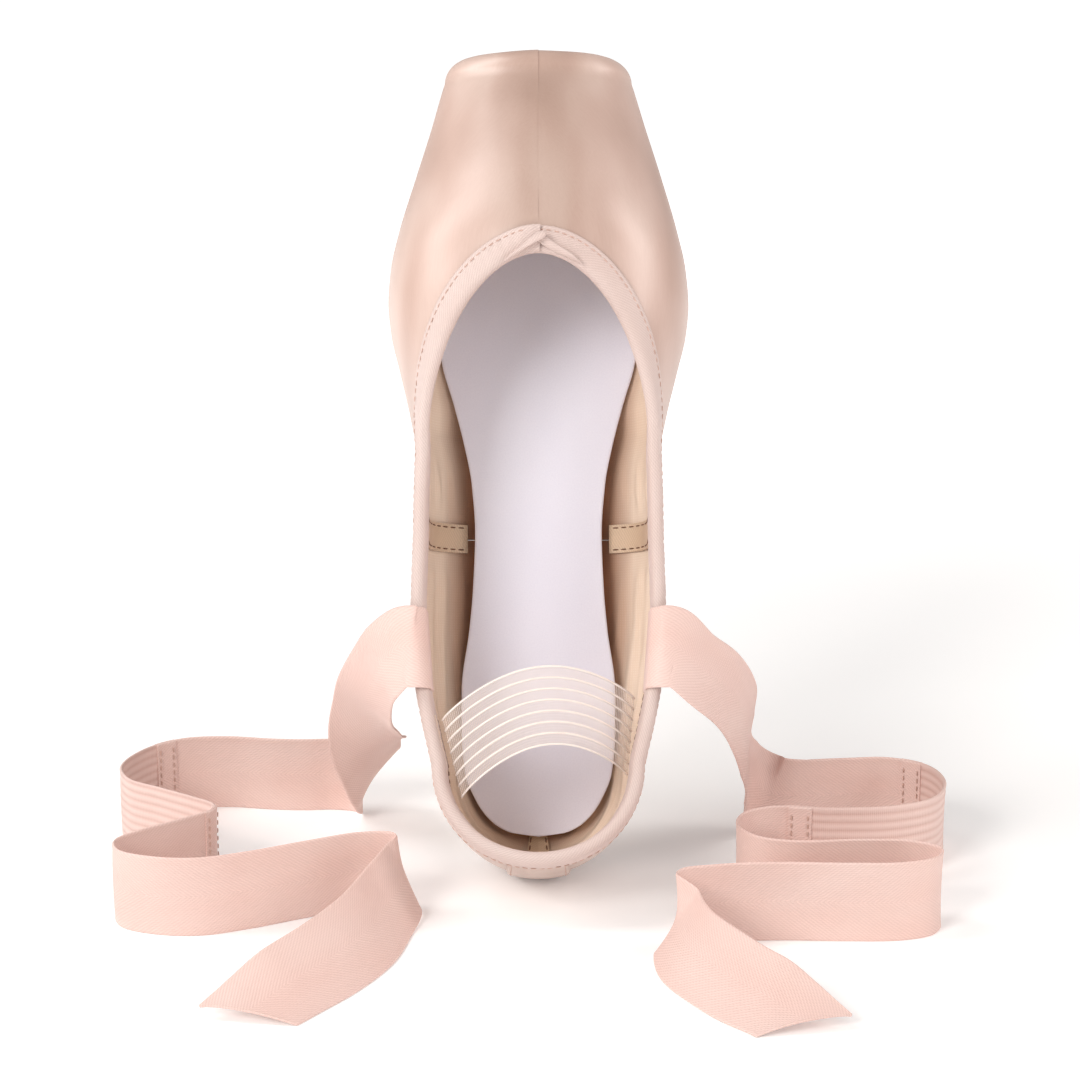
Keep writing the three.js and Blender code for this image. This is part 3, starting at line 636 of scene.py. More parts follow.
def satin_look():
    look = Look("satin", 0.4, sheen=0.25, tint=(255, 244, 238), specular=1.0)
    place = look.object_place()
    broad = look.noise(0.03, (1, 1, 3), 2, place=place)
    threads = look.noise(3.0, (14, 1, 1), 2, 0.6)
    streaks = look.noise(0.07, (1, 2, 40), 1, place=place)
    drift = look.math("MULTIPLY_ADD", streaks, 0.75, look.math("MULTIPLY", broad, 0.25))
    tone = look.ramp(drift, (0.36, (184, 152, 138)), (0.5, (197, 166, 153)), (0.62, (208, 181, 169)))
    woven = look.ramp(threads, (0.35, (184, 153, 139)), (0.65, (216, 192, 180)))
    # Painted shade: a darker band down the middle of the satin, fading out to each side.
    aside = look.math("ABSOLUTE", look.math("SUBTRACT", look.axes(place)[0], SATIN_SHADE_MIDDLE))
    painted_shade = look.ramp(look.math("MULTIPLY", aside, 1 / SATIN_SHADE_REACH),
                       (0.15, (230, 228, 225)), (0.8, (255, 255, 255)))
    look.colour(look.mixed(1.0, look.mixed(0.12, tone, woven), painted_shade, "MULTIPLY"))
    look.roughness(threads, 0.31, 0.43)
    ripples = look.noise(0.16, (1, 1, 5), 2, place=place)
    look.bump((broad, 0.3, 1.0), (ripples, 0.2, 0.3), (threads, 0.2, 0.03))
    return look.material


# Heights above the sole, in millimetres, between which the painted shade on the lining's lower part, down in
# the crevice by the insole, fades out.
LINING_SHADE_FULL = 1.0
LINING_SHADE_GONE = 5.5


def lining_look():
    look = Look("lining", 0.9, sheen=0.15, specular=0.2)
    along, across, height = look.axes()
    weave = look.math("MULTIPLY", look.wave(along, 0.7), look.wave(across, 0.7))
    broad = look.noise(0.06, (4, 1, 1), 3)
    cotton = look.mixed(0.22, look.ramp(broad, (0.3, (238, 220, 205)), (0.7, (252, 240, 229))),
                        look.ramp(weave, (0.1, (222, 196, 172)), (0.6, (252, 240, 228))))
    stained = look.ramp(look.noise(0.035, (5, 1, 1), 2), (0.35, (196, 146, 100)), (0.7, (232, 198, 164)))
    fade = LINING_SHADE_GONE - LINING_SHADE_FULL
    raised = look.math("MULTIPLY_ADD", height, 1 / fade, -LINING_SHADE_FULL / fade)
    # Painted shade: the lining is darkened low down, where it meets the insole.
    painted_crevice_shade = look.ramp(raised, (0.0, (158, 112, 84)), (1.0, (255, 255, 255)))
    look.colour(look.mixed(1.0, look.mixed(0.3, cotton, stained), painted_crevice_shade, "MULTIPLY"))
    look.bump((look.noise(0.14, (5, 1, 1), 3), 0.5, 0.7), (weave, 0.3, 0.1))
    return look.material


def twill_look(name, light, dark, pitch, herringbone, mid=None):
    """A woven tape: fine diagonal ribs, turned over at the middle for a herringbone, and firm edges."""
    look = Look(name, 0.58, sheen=0.35, tint=(255, 232, 224), specular=0.35)
    along, across, _ = look.axes()
    slant = look.math("ABSOLUTE", across) if herringbone else across
    diagonal = look.math("ADD", look.math("MULTIPLY", along, 0.8), look.math("MULTIPLY", slant, 1.1))
    ribs = look.wave(diagonal, pitch)
    warp = look.wave(across, pitch * 0.55)
    cloth = look.math("MULTIPLY_ADD", ribs, 0.65, look.math("MULTIPLY", warp, 0.35))
    broad = look.noise(0.05, (2, 1, 1), 2)
    tone = look.ramp(broad, (0.3, dark), (0.75, light))
    deep = tuple(int(c * 0.87) for c in dark)
    look.colour(look.mixed(0.3, tone, look.ramp(cloth, (0.15, deep), (0.75, light))))
    look.bump((broad, 0.2, 1.0), (cloth, 0.55, 0.12))
    return look.material


def insole_look():
    look = Look("insole_cloth", 0.85, sheen=0.3, tint=(245, 240, 250), specular=0.25)
    broad = look.noise(0.025, (2, 1, 1), 3)
    nap = look.noise(2.2, (1, 1, 1), 3, 0.6)
    look.colour(look.mixed(0.15, look.ramp(broad, (0.3, (230, 230, 245)), (0.7, (238, 239, 252))),
                           look.ramp(nap, (0.35, (214, 210, 226)), (0.7, (246, 245, 252)))))
    look.bump((look.noise(0.09, (1, 1, 1), 3), 0.25, 0.5), (nap, 0.25, 0.06))
    return look.material


def leather_look():
    look = Look("sole_leather", 0.62, sheen=0.1, specular=0.35, bare=False)
    broad = look.noise(0.04, (1, 1, 1), 4)
    grain = look.noise(1.1, (1, 1, 1), 4, 0.65)
    look.colour(look.mixed(0.35, look.ramp(broad, (0.3, (206, 172, 146)), (0.7, (222, 192, 168))),
                           look.ramp(grain, (0.3, (180, 142, 114)), (0.7, (232, 205, 182)))))
    look.roughness(grain, 0.5, 0.75)
    look.bump((broad, 0.3, 0.8), (grain, 0.4, 0.15))
    return look.material


def board_look(name, light, dark):
    look = Look(name, 0.85, specular=0.25, bare=True)
    fibres = look.noise(0.9, (1, 1, 6), 4, 0.65)
    look.colour(look.ramp(fibres, (0.3, dark), (0.7, light)))
    look.bump((fibres, 0.4, 0.2))
    return look.material


def thread_look(name, colour, pitch=0.9):
    """Twisted thread: a fine slanting lay round it."""
    look = Look(name, 0.6, sheen=0.3, specular=0.35)
    along, around, _ = look.axes()
    lay = look.wave(look.math("ADD", along, around), pitch)
    deep = tuple(int(c * 0.85) for c in colour)
    look.colour(look.ramp(lay, (0.1, deep), (0.7, colour)))
    look.bump((lay, 0.5, 0.1))
    return look.material


def elastic_web_look():
    """The sheer ground of the elastic: fine threads with open gaps between them."""
    look = Look("sheer_web", 0.6, sheen=0.2, specular=0.3)
    along, across, _ = look.axes()
    threads = look.wave(along, 0.5)
    look.colour(look.ramp(threads, (0.2, (236, 214, 204)), (0.8, (250, 236, 228))))
    look.bump((threads, 0.4, 0.08))
    look.shader.inputs["Alpha"].default_value = 0.13
    return look.material


def elastic_band_look(name, dark, light):
    """A woven elastic: ribs along it, and fine threads across."""
    look = Look(name, 0.6, sheen=0.3, specular=0.35)
    along, across, _ = look.axes()
    ribs = look.wave(across, 2.4, 0.7)
    threads = look.wave(along, 0.55)
    cloth = look.math("MULTIPLY_ADD", ribs, 0.7, look.math("MULTIPLY", threads, 0.3))
    look.colour(look.ramp(cloth, (0.1, dark), (0.8, light)))
    look.bump((ribs, 0.6, 0.35), (threads, 0.4, 0.1))
    return look.material


LOOKS = {
    "satin": satin_look(),
    "lining": lining_look(),
    "binding": twill_look("binding_twill", (216, 198, 192), (204, 180, 172), 0.9, False),
    "ribbon": twill_look("ribbon_twill", (232, 206, 198), (226, 190, 180), 1.0, True),
    "tape": twill_look("seam_tape", (224, 198, 172), (208, 178, 150), 1.0, False),
    "insole": insole_look(),
    "leather": leather_look(),
    "board": board_look("shank_board", (196, 168, 130), (160, 130, 96)),
    "stiffener": board_look("stiffener", (222, 208, 182), (196, 178, 148)),
    "cord": thread_look("cord", (238, 206, 194)),
    "thread": thread_look("sewing_thread", (226, 188, 172), 0.5),
    "dark_thread": thread_look("dark_thread", (128, 84, 60), 0.5),
    "rib": thread_look("elastic_rib", (255, 244, 237), 0.7),
    "web": elastic_web_look(),
    "elastic": elastic_band_look("woven_elastic", (214, 180, 170), (228, 200, 192)),
    "rib_band": elastic_band_look("sheer_elastic_end", (222, 196, 176), (244, 224, 208)),
}


def placed(piece, slot, *nodes, body="shoe"):
    """A piece rides on its body and takes the place of its CAD nodes; its slot is not used."""
    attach(piece, body)
    if nodes:
        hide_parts(*nodes)
    return piece


# ---- the upper ----

def seam_dip(station, seam, width=1.6, depth=0.28):
    """A shallow groove where two pieces are sewn edge to edge."""
    return depth * (1 - eased(np.abs(station - seam), 0, width))


def sole_pleats(point, level):
    """Pleats where the satin is gathered under the toe, running out from the sole's front."""
    angle = np.arctan2(point[..., 1] - 168, np.abs(point[..., 0]) + 0.01)
    folds = 0.5 + 0.5 * np.cos(angle * 21 + 1.5 * np.sin(3 * angle))
    near_toe = eased(point[..., 1], 160, 178) * (1 - eased(point[..., 1], 222, 226))
    low = 1 - eased(level, 0.45, 0.95)
    return 0.5 * folds**2 * near_toe * low


def satin_relief(point, station, level, side):
    slack = 0.16 * np.sin(point[..., 1] * 0.11 + side * 1.3) * np.sin(level * 7 + side)
    tension = eased(rim_distance(point), 3, 12)
    lasted = 0.22 * (0.5 + 0.5 * np.cos(station * 0.9)) * (1 - eased(level, 0.35, 0.8)) * (station < 160)
    seams = seam_dip(station, SEAM_STATION) + seam_dip(station, -HEEL_ARC)
    return seams + (0.16 + slack) * tension + lasted + sole_pleats(point, level)


def lining_depth(point, station):
    forward = eased(HEEL_CENTRE + station, 124, 134)
    inside = eased(rim_distance(point), 7, 11)
    return LINING_DEPTH + forward * inside * BOX_STEP


def lining_relief(point, station, level, side):
    """Loose folds of the lining, running from heel to toe, flat near the rim and under the tapes."""
    free = eased(rim_distance(point), 5.5, 13) * eased(np.abs(station - SEAM_STATION), 5, 15)
    free = free * eased(station + HEEL_ARC, 5, 16) * (1 - eased(station, 74, 94)) * eased(level, 0.1, 0.25)
    folds = np.sin(level * 34 + side * 0.8 + 2.3 * np.sin(station * 0.055 + side))
    fine = np.sin(level * 71 + station * 0.08 * side)
    return free * (0.85 * (0.5 + 0.5 * folds) ** 1.6 + 0.2 * (0.5 + 0.5 * fine))


def in_toe_box(point, station):
    return (station > BOX_START) & (rim_distance(point) > BOX_FROM_RIM)


def build_upper():
    vamp = dict(stations=VAMP_STATIONS, low=lasted_level, high=rim_level, columns=64, sides=(1, -1))
    vamp_satin = skin_layer("vamp_satin_cloth", depth=0, thickness=SATIN, material=LOOKS["satin"],
                            relief=satin_relief, **vamp)
    placed(vamp_satin, "satin", "vamp_satin")
    inner = skin_layer("vamp_lining_cloth", depth=lining_depth, thickness=LINING, material=LOOKS["lining"],
                       relief=lining_relief, **vamp)
    placed(inner, "lining", "vamp_lining")
    box = skin_layer("toe_box_shell", depth=BOX_DEPTH, thickness=BOX, material=LOOKS["stiffener"],
                     keep=in_toe_box, **vamp)
    placed(box, "stiffener", "toe_box")
    for side_name, side in (("right", 1), ("left", -1)):
        quarter = dict(stations=QUARTER_STATIONS, low=lasted_level, high=rim_level, columns=44, sides=(side,))
        satin = skin_layer(f"quarter_satin_{side_name}_cloth", depth=0, thickness=SATIN,
                           material=LOOKS["satin"], relief=satin_relief, **quarter)
        placed(satin, "satin", f"quarter_satin_{side_name}")
        cotton = skin_layer(f"quarter_lining_{side_name}_cloth", depth=LINING_DEPTH, thickness=LINING,
                            material=LOOKS["lining"], relief=lining_relief, **quarter)
        placed(cotton, "lining", f"quarter_lining_{side_name}")


def skin_row(station, levels, depth, side):
    """A path and its outward normals across the skin, for stitches."""
    stations = np.broadcast_to(np.asarray(station, float), np.shape(levels))
    normal = skin_normal(stations, levels)
    path = skin(stations, levels) - normal * depth
    flip = np.array([side, 1, 1])
    return path * flip, normal * flip


def build_tapes():
    tape_top = lambda station: level_below_rim(station, TAPE_BELOW_RIM)
    tape_low = at_level(TAPE_LOW_LEVEL)
    first_stitch = TAPE_LOW_LEVEL + 0.02
    edge_row = TAPE_HALF_WIDTH - TAPE_STITCH_INSET
    back_row = TAPE_HALF_WIDTH - BACK_STITCH_INSET
    inside = INSIDE_LINING + 0.45
    back = skin_layer("back_seam_tape_cloth", np.linspace(-HEEL_ARC, -HEEL_ARC + TAPE_HALF_WIDTH, 7),
                      tape_low, tape_top, INSIDE_LINING, TAPE, 40, (1, -1), LOOKS["tape"])
    placed(back, "seam_tape", "back_seam_tape")
    rows = []
    for side_name, side in (("right", 1), ("left", -1)):
        stations = SEAM_STATION + np.linspace(-TAPE_HALF_WIDTH, TAPE_HALF_WIDTH, 13)
        tape = skin_layer(f"side_seam_tape_{side_name}_cloth", stations, tape_low, tape_top,
                          INSIDE_LINING, TAPE, 40, (side,), LOOKS["tape"])
        placed(tape, "seam_tape", f"side_seam_tape_{side_name}")
        for offset in (-edge_row, edge_row):
            levels = np.linspace(first_stitch, tape_top(SEAM_STATION) - 0.01, 60)
            path, normal = skin_row(SEAM_STATION + offset, levels, inside, side)
            rows.append((path, -normal))
        levels = np.linspace(first_stitch, tape_top(-HEEL_ARC + back_row) - 0.01, 60)
        path, normal = skin_row(-HEEL_ARC + back_row, levels, inside, side)
        rows.append((path, -normal))
    sewn = stitches("tape_stitches", rows, TAPE_STITCH, LOOKS["dark_thread"])
    placed(sewn, "seam_tape")


def build_heel_patch():
    """The satin patch over the back seam, with its side edges turned under and sewn."""
    reach = PATCH_HALF_WIDTH / 27.8 / RIGHT_ANGLE * HEEL_ARC
    stations = -HEEL_ARC + reach * np.concatenate([np.linspace(0, 0.9, 14), [0.94, 0.97, 0.99, 1.0]])
    rounded = lambda point, station, level, side: 0.55 * eased(station + HEEL_ARC, reach * 0.9, reach) ** 2
    top = lambda station: level_below_rim(station, PATCH_BELOW_RIM)
    patch = skin_layer("heel_patch_cloth", stations, at_level(PATCH_LOW_LEVEL), top,
                       -PATCH_HEIGHT, PATCH, 30, (1, -1), LOOKS["satin"], relief=rounded)
    placed(patch, "satin", "heel_patch")
    rows = []
    for side in (1, -1):
        levels = np.linspace(0.82, level_below_rim(-HEEL_ARC + reach * 0.84, 4.4), 40)
        rows.append(skin_row(-HEEL_ARC + reach * 0.84, levels, -0.76, side))
    sewn = stitches("heel_patch_stitches", rows, PATCH_STITCH, LOOKS["thread"])
    placed(sewn, "satin")


# ---- the sole ----

def rounded_plate(name, rows, heights, material, steps=150, rings=5, crown=0.0, edge=0.6):
    """A plate in the lying frame with rolled edges; crown lifts its middle a little."""
    width_at = smooth_through(rows)
    start, end = rows[0][0], rows[-1][0]
    along = start + (end - start) * (0.5 - 0.5 * np.cos(np.linspace(0, math.pi, steps)))
    across = np.sin(np.linspace(-RIGHT_ANGLE, RIGHT_ANGLE, 41))
    bottom, top = heights
    half = (top - bottom) / 2
    width = np.maximum(width_at(along), 0.02)
    u = width[:, None] * across
    v = np.repeat(along[:, None], len(across), 1)
    from_edge = width[:, None] * (1 - np.abs(across))
    from_end = np.minimum(v - start, end - v)
    near = np.clip(np.minimum(from_edge, from_end) / edge, 0, 1)
    roll = half * np.sqrt(np.clip(1 - (1 - near) ** 2, 0, 1))
    lift = crown * (1 - (u / (width[:, None] + 1)) ** 2)
    middle = (bottom + top) / 2 + lift
    upper = np.stack([u, v, middle + roll], -1).reshape(-1, 3)
    lower = np.stack([u, v, middle - roll], -1).reshape(-1, 3)
    faces = grid_faces(len(along), len(across))
    points, solid = closed_sheet(upper, lower, faces)
    coords = np.stack([points[:, 1], points[:, 0], 0 * points[:, 0]], -1)
    return new_object(name, points, solid, coords, material, weld=True, sharp=60)


def build_sole():
    sock = rounded_plate("insole_sock_cloth", INSOLE_HALF_WIDTH, INSOLE_HEIGHT, LOOKS["insole"], edge=0.7)
    placed(sock, "insole", "insole_sock")
    leather = rounded_plate("outsole_leather", OUTSOLE_HALF_WIDTH, OUTSOLE_HEIGHT, LOOKS["leather"], edge=1.2)
    placed(leather, "outsole_leather", "outsole")
    width_at = smooth_through(OUTSOLE_HALF_WIDTH)
    along = np.linspace(16, 199, 160)
    rows = []
    for side in (1, -1):
        inset = width_at(along) - SOLE_STITCH_INSET
        path = np.stack([side * inset, along, 0 * along + OUTSOLE_HEIGHT[0]], -1)
        rows.append((path, np.tile([0.0, 0.0, -1.0], (len(path), 1))))
    sewn = stitches("outsole_stitches", rows, SOLE_STITCH, LOOKS["thread"])
    placed(sewn, "outsole_leather")
    for node, look in (("sole_filler", "stiffener"), ("shank_board", "board")):
        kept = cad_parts[node]
        kept.data.materials.clear()
        kept.data.materials.append(LOOKS[look])


# ---- the binding and the drawstring's ends ----

def rim_frames(before, after):
    """The rim from the throat's right side round the heel to its left side, spaced evenly; it starts and
    ends that many millimetres past the throat's middle."""
    level = rim_level(RIM_STATIONS)
    point, normal = skin(RIM_STATIONS, level), skin_normal(RIM_STATIONS, level)
    flip = np.array([-1, 1, 1])
    loop = np.concatenate([point[::-1], (point * flip)[1:-1]])
    normals = np.concatenate([normal[::-1], (normal * flip)[1:-1]])
    around = np.concatenate([loop, loop[:1]])
    total = distances_along(around)
    places = np.arange(-before, total[-1] + after, RIM_SPACING)
    wrapped = np.mod(places, total[-1])
    directions = unit(np.roll(loop, -1, 0) - np.roll(loop, 1, 0))
    path = read_at(wrapped, total, around)
    outward = unit(read_at(wrapped, total, np.concatenate([normals, normals[:1]])))
    travel = unit(read_at(wrapped, total, np.concatenate([directions, directions[:1]])))
    outward = unit(outward - travel * np.sum(outward * travel, -1, keepdims=True))
    return places, total[-1], path, outward, unit(np.cross(travel, outward))


# The folded tape's outline: [across the edge, outwards positive; up past the edge].
BINDING_PROFILE = [
    (0.35, -4.75), (0.72, -4.6), (0.86, -4.1), (0.78, -3.3), (0.9, -2.2), (0.92, -0.6), (0.8, 0.9),
    (0.45, 2.0), (-0.2, 2.55), (-1.0, 2.7), (-1.8, 2.5), (-2.4, 1.9), (-2.72, 0.8), (-2.85, -0.8),
    (-3.1, -2.4), (-3.4, -4.0), (-3.3, -4.35), (-3.0, -4.3), (-2.65, -2.6), (-2.4, -1.0), (-2.2, 0.6),
    (-1.8, 1.6), (-1.0, 2.0), (-0.2, 1.75), (0.2, 0.8), (0.28, -0.6), (0.25, -2.6), (0.2, -4.4),
]


def build_binding():
    """The tape folded over the opening's edge; at the throat its left end lies over its right end."""
    places, total, path, outward, rise = rim_frames(*BINDING_OVERLAP)
    profile = np.array(BINDING_PROFILE)
    over = 0.95 * eased(places, total - 9, total - 1)
    under = -0.12 * (1 - eased(places, -2, 6))
    pucker = 0.1 * np.sin(places * 2.1 + 0.8 * np.sin(places * 0.23)) + 0.07 * np.sin(places * 0.71)
    flap = np.clip(1 - np.abs(profile[:, 1] + 2.0) / 3.2, 0, 1) * np.sign(profile[:, 0] + 1)
    perimeter = distances_along(profile)
    rings, coords = [], []
    for i, place in enumerate(places):
        shift = (over[i] + under[i]) * (profile[:, 0] > -1)
        reach = profile[:, 0] + pucker[i] * flap + shift
        rings.append(path[i] + np.outer(reach, outward[i]) + np.outer(profile[:, 1], rise[i]))
        coords.append(np.stack([0 * perimeter + place, perimeter, 0 * perimeter], -1))
    piece = swept("binding_cloth", rings, coords, LOOKS["binding"], sharp=70)
    placed(piece, "binding", "top_binding")
    seam = path + outward * (BINDING_SEAM[0] + over[:, None]) + rise * BINDING_SEAM[1]
    inner = slice(3, len(places) - 3)
    sewn = stitches("binding_stitches", [(seam[inner], outward[inner])], BINDING_STITCH, LOOKS["thread"])
    placed(sewn, "binding")
    inside = slice(12, len(places) - 12)
    inner_path = path + outward * DRAWSTRING_PLACE[0] + rise * DRAWSTRING_PLACE[1]
    cord = tube("drawstring_cord", inner_path[inside], DRAWSTRING, LOOKS["cord"])
    placed(cord, "cord", "drawstring")


def spline(points, count):
    """A smooth path through a few points."""
    points = np.asarray(points, float)
    t = np.linspace(0, 1, len(points)) * (len(points) - 1)
    wanted = np.linspace(0, len(points) - 1, count)
    return np.stack([smooth_spline(t, points[:, k], wanted) for k in range(points.shape[1])], -1)


def smooth_spline(t, values, wanted):
    padded = np.concatenate([[2 * values[0] - values[1]], values, [2 * values[-1] - values[-2]]])
    i = np.clip(wanted.astype(int), 0, len(values) - 2)
    s = wanted - i
    p0, p1, p2, p3 = (padded[i + k] for k in range(4))
    square = 2 * p0 - 5 * p1 + 4 * p2 - p3
    cube = 3 * p1 - p0 - 3 * p2 + p3
    return 0.5 * (2 * p1 + (p2 - p0) * s + square * s**2 + cube * s**3)


TAIL_ROUTES = {
    "right": [(-1.4, 171.8, 60.4), (1.6, 169.8, 60.4), (5, 167.7, 60), (8.5, 165.8, 60), (11.5, 164, 59.3)],
    "left": [(1.6, 171.4, 62.4), (-1.4, 169.7, 62.2), (-4, 168, 61.2), (-6.6, 166.2, 60.3),
             (-8.8, 164.4, 59.4)],
}
TAIL_SHIFT = (0, -1.0, -0.8)
TAIL_HALF_WIDTH = 1.25


def build_tails():
    """The drawstring's two ends, flat, twisted and crossed at the throat."""
    share = np.linspace(0, 1, 48)
    for side_name, points in TAIL_ROUTES.items():
        route = spline(points, len(share)) + TAIL_SHIFT
        width = TAIL_HALF_WIDTH * np.interp(share, [0, 0.1, 0.8, 1], [0.7, 1, 0.95, 0.45])
        tail = tube(f"drawstring_tail_{side_name}_cord", route, width, LOOKS["binding"], 14, 0.5, twist=0.14)
        placed(tail, "cord", f"drawstring_tail_{side_name}", body="cord_ends")


# ---- the heel elastic ----

ELASTIC_LEFT = np.array([-22.9, 31.5, 45])
ELASTIC_RIGHT = np.array([24.8, 38, 37])
ELASTIC_ARCH = np.array([0, 10, 15])
ELASTIC_SPLAY = (-2.6, 1.0)
ELASTIC_RIBS = 8
ELASTIC_THREADS = 110
RIB_RADIUS = 0.3
THREAD_RADIUS = 0.06
WEB_HALF = 0.05


def elastic_point(share, across):
    share, across = np.broadcast_arrays(np.asarray(share, float), np.asarray(across, float))
    point = ELASTIC_LEFT + (ELASTIC_RIGHT - ELASTIC_LEFT) * share[..., None]
    point = point + ELASTIC_ARCH * (np.sin(math.pi * np.clip(share, 0, 1)) ** 0.8)[..., None]
    splay = ELASTIC_SPLAY[0] + (ELASTIC_SPLAY[1] - ELASTIC_SPLAY[0]) * share
    return point + np.stack([splay * across, ELASTIC_HALF_WIDTH * across, 0 * share], -1)


def joined_tubes(name, paths, radius, segments, material):
    """Many thin threads as one mesh."""
    points, coords, faces = [], [], []
    for path in paths:
        rings, places = tube_rings(path, radius, segments)
        faces += ring_faces(len(path), segments, len(points) * len(path) * segments)
        points.append(rings.reshape(-1, 3))
        coords.append(places.reshape(-1, 3))
    return new_object(name, np.concatenate(points), faces, np.concatenate(coords), material)


def build_elastic():
    shares = np.linspace(0.0, 1.0, 90)
    ribs = [elastic_point(shares, across) for across in np.linspace(-1, 1, ELASTIC_RIBS)]
    cords = joined_tubes("elastic_ribs", ribs, RIB_RADIUS, 8, LOOKS["rib"])
    places = np.linspace(0.004, 0.996, ELASTIC_THREADS)
    crossings = [elastic_point(share, np.linspace(-1, 1, 15)) for share in places]
    threads = joined_tubes("elastic_threads", crossings, THREAD_RADIUS, 4, LOOKS["rib"])
    across = np.linspace(-1, 1, 29)
    grid = elastic_point(shares[:, None], across[None, :])
    along = np.gradient(grid, axis=0)
    normal = unit(np.cross(along, np.gradient(grid, axis=1)))
    front, back = ((grid + normal * half).reshape(-1, 3) for half in (WEB_HALF, -WEB_HALF))
    vertices, solid = closed_sheet(front, back, grid_faces(*grid.shape[:2]))
    length = distances_along(grid[:, len(across) // 2])
    shape = grid.shape[:2]
    coords = np.stack([np.broadcast_to(length[:, None], shape),
                       np.broadcast_to(across * ELASTIC_HALF_WIDTH, shape), np.zeros(shape)], -1)
    both = np.concatenate([coords.reshape(-1, 3)] * 2)
    web = new_object("heel_elastic_web", vertices, solid, both, LOOKS["web"])
    placed(web, "sheer_elastic", "heel_elastic", body="elastic_band")
    placed(cords, "sheer_elastic", body="elastic_band")
    placed(threads, "sheer_elastic", body="elastic_band")


# Each sewn end: its name, its side, the station where it starts and its upper level.
ELASTIC_ENDS = [("right", 1, 2, 1.075), ("left", -1, -8, 1.115)]


def build_elastic_ends():
    """The elastic's two ends, sewn flat against the lining."""
    rows = []
    for side_name, side, first, top in ELASTIC_ENDS:
        stations = first + np.linspace(0, 2 * ELASTIC_HALF_WIDTH, 44)
        ribbed = lambda point, station, level, side: 0.12 * np.cos(station * 2.4) - 0.12
        end = skin_layer(f"elastic_end_{side_name}_sewn", stations, at_level(1.0), at_level(top),
                         INSIDE_LINING + 0.1, TAPE, 14, (side,), LOOKS["rib_band"], relief=ribbed)
        placed(end, "sheer_elastic", f"elastic_end_{side_name}")
        for level in (1.012, top - 0.025):
            row_stations = np.linspace(stations[0] + 0.5, stations[-1] - 0.5, 60)
            path, normal = skin_row(row_stations, np.full(60, level), INSIDE_LINING + THREAD_HEIGHT, side)
            rows.append((path, -normal))
    sewn = stitches("elastic_end_stitches", rows, ELASTIC_STITCH, LOOKS["dark_thread"])
    placed(sewn, "sheer_elastic")


# ---- the ribbons ----

def standing_point(u, v, w):
    across = v * math.sin(LEAN) - w * math.cos(LEAN)
    return (u, across, v * math.cos(LEAN) + w * math.sin(LEAN) - HEEL_LIFT)


INSERT_GAP = 0.1
INSERT_RIBS = 0.07
TURNING_LENGTH = 6.5
TURNING_STEP = 0.42
RIM_FLARE = 0.075
RIM_FALL = 0.09
UPRIGHT = (0, 0, 1)
OVER_THE_RIM = [(29.3, 35), (29.4, 41), (29.9, 46.4), (32.6, 49.2), (36.5, 47.9)]
SEWN_AT = 61


def over_the_rim(side):
    sine, cosine = math.sin(LEAN), math.cos(LEAN)
    along = (side * RIM_FLARE, sine + RIM_FALL * cosine, cosine - RIM_FALL * sine)
    return [(standing_point(side * u, SEWN_AT, w), along) for u, w in OVER_THE_RIM]


def laid(points):
    return [((x, y, RIBBON_WIDTH / 2), UPRIGHT) for x, y in points]


def leaning(rows):
    """A ribbon that leans has its lower edge on the floor: that edge, and the leaning direction."""
    turned_up = [(np.array(edge), np.array(up) / np.linalg.norm(up)) for edge, up in rows]
    return [(tuple(edge + up * RIBBON_WIDTH / 2), tuple(up)) for edge, up in turned_up]


def flipped(rows):
    return [(place, tuple(-share for share in up)) for place, up in rows]


# The left ribbon turns over once as it falls, so what was its upper edge lies on the floor.
LEFT_ROUTE = over_the_rim(-1) + [
    ((-42, -15.5, 64), (-0.3, 0.5, 0.82)), ((-45, -9, 56.5), (-0.5, 0.57, 0.65)),
    ((-47, -1.5, 48.5), (-0.72, 0.6, 0.4)), ((-47.5, 7, 40.5), (-0.85, 0.42, 0.22)),
    ((-48, 16.5, 30.5), (-0.97, 0, -0.15)), ((-47.5, 26.5, 20.5), (-0.72, -0.42, -0.5)),
    ((-47.5, 34.5, 12.8), (-0.56, -0.25, -0.8)), ((-51, 40, 11), (-0.3, -0.1, -0.95)),
] + flipped(laid([
    (-60, 41.5), (-68, 41), (-77, 41.5), (-90, 43.5), (-103, 42), (-112.5, 34), (-118, 20), (-114.5, 9),
    (-105, 2), (-95, -5), (-89, -10), (-88.5, -14), (-96, -21), (-106, -29), (-112, -36.5), (-110, -43.5),
    (-101, -48), (-89, -49), (-76, -44.5), (-62, -37.5), (-47, -31),
])) + flipped(leaning([
    ((-32.5, -34.5, 1), (-0.34, 0.1, 0.94)), ((-33.9, -52, 0), (-0.5, 0.2, 0.84)),
    ((-37.5, -68, 0), (-0.6, 0.27, 0.75)), ((-45, -83.5, 0), (-0.68, 0.33, 0.65)),
    ((-53, -95.2, 0), (-0.74, 0.4, 0.54)), ((-58.5, -103, 0.3), (-0.79, 0.5, 0.35)),
    ((-66, -112.5, 0.6), (-0.8, 0.58, 0.12)),
]))
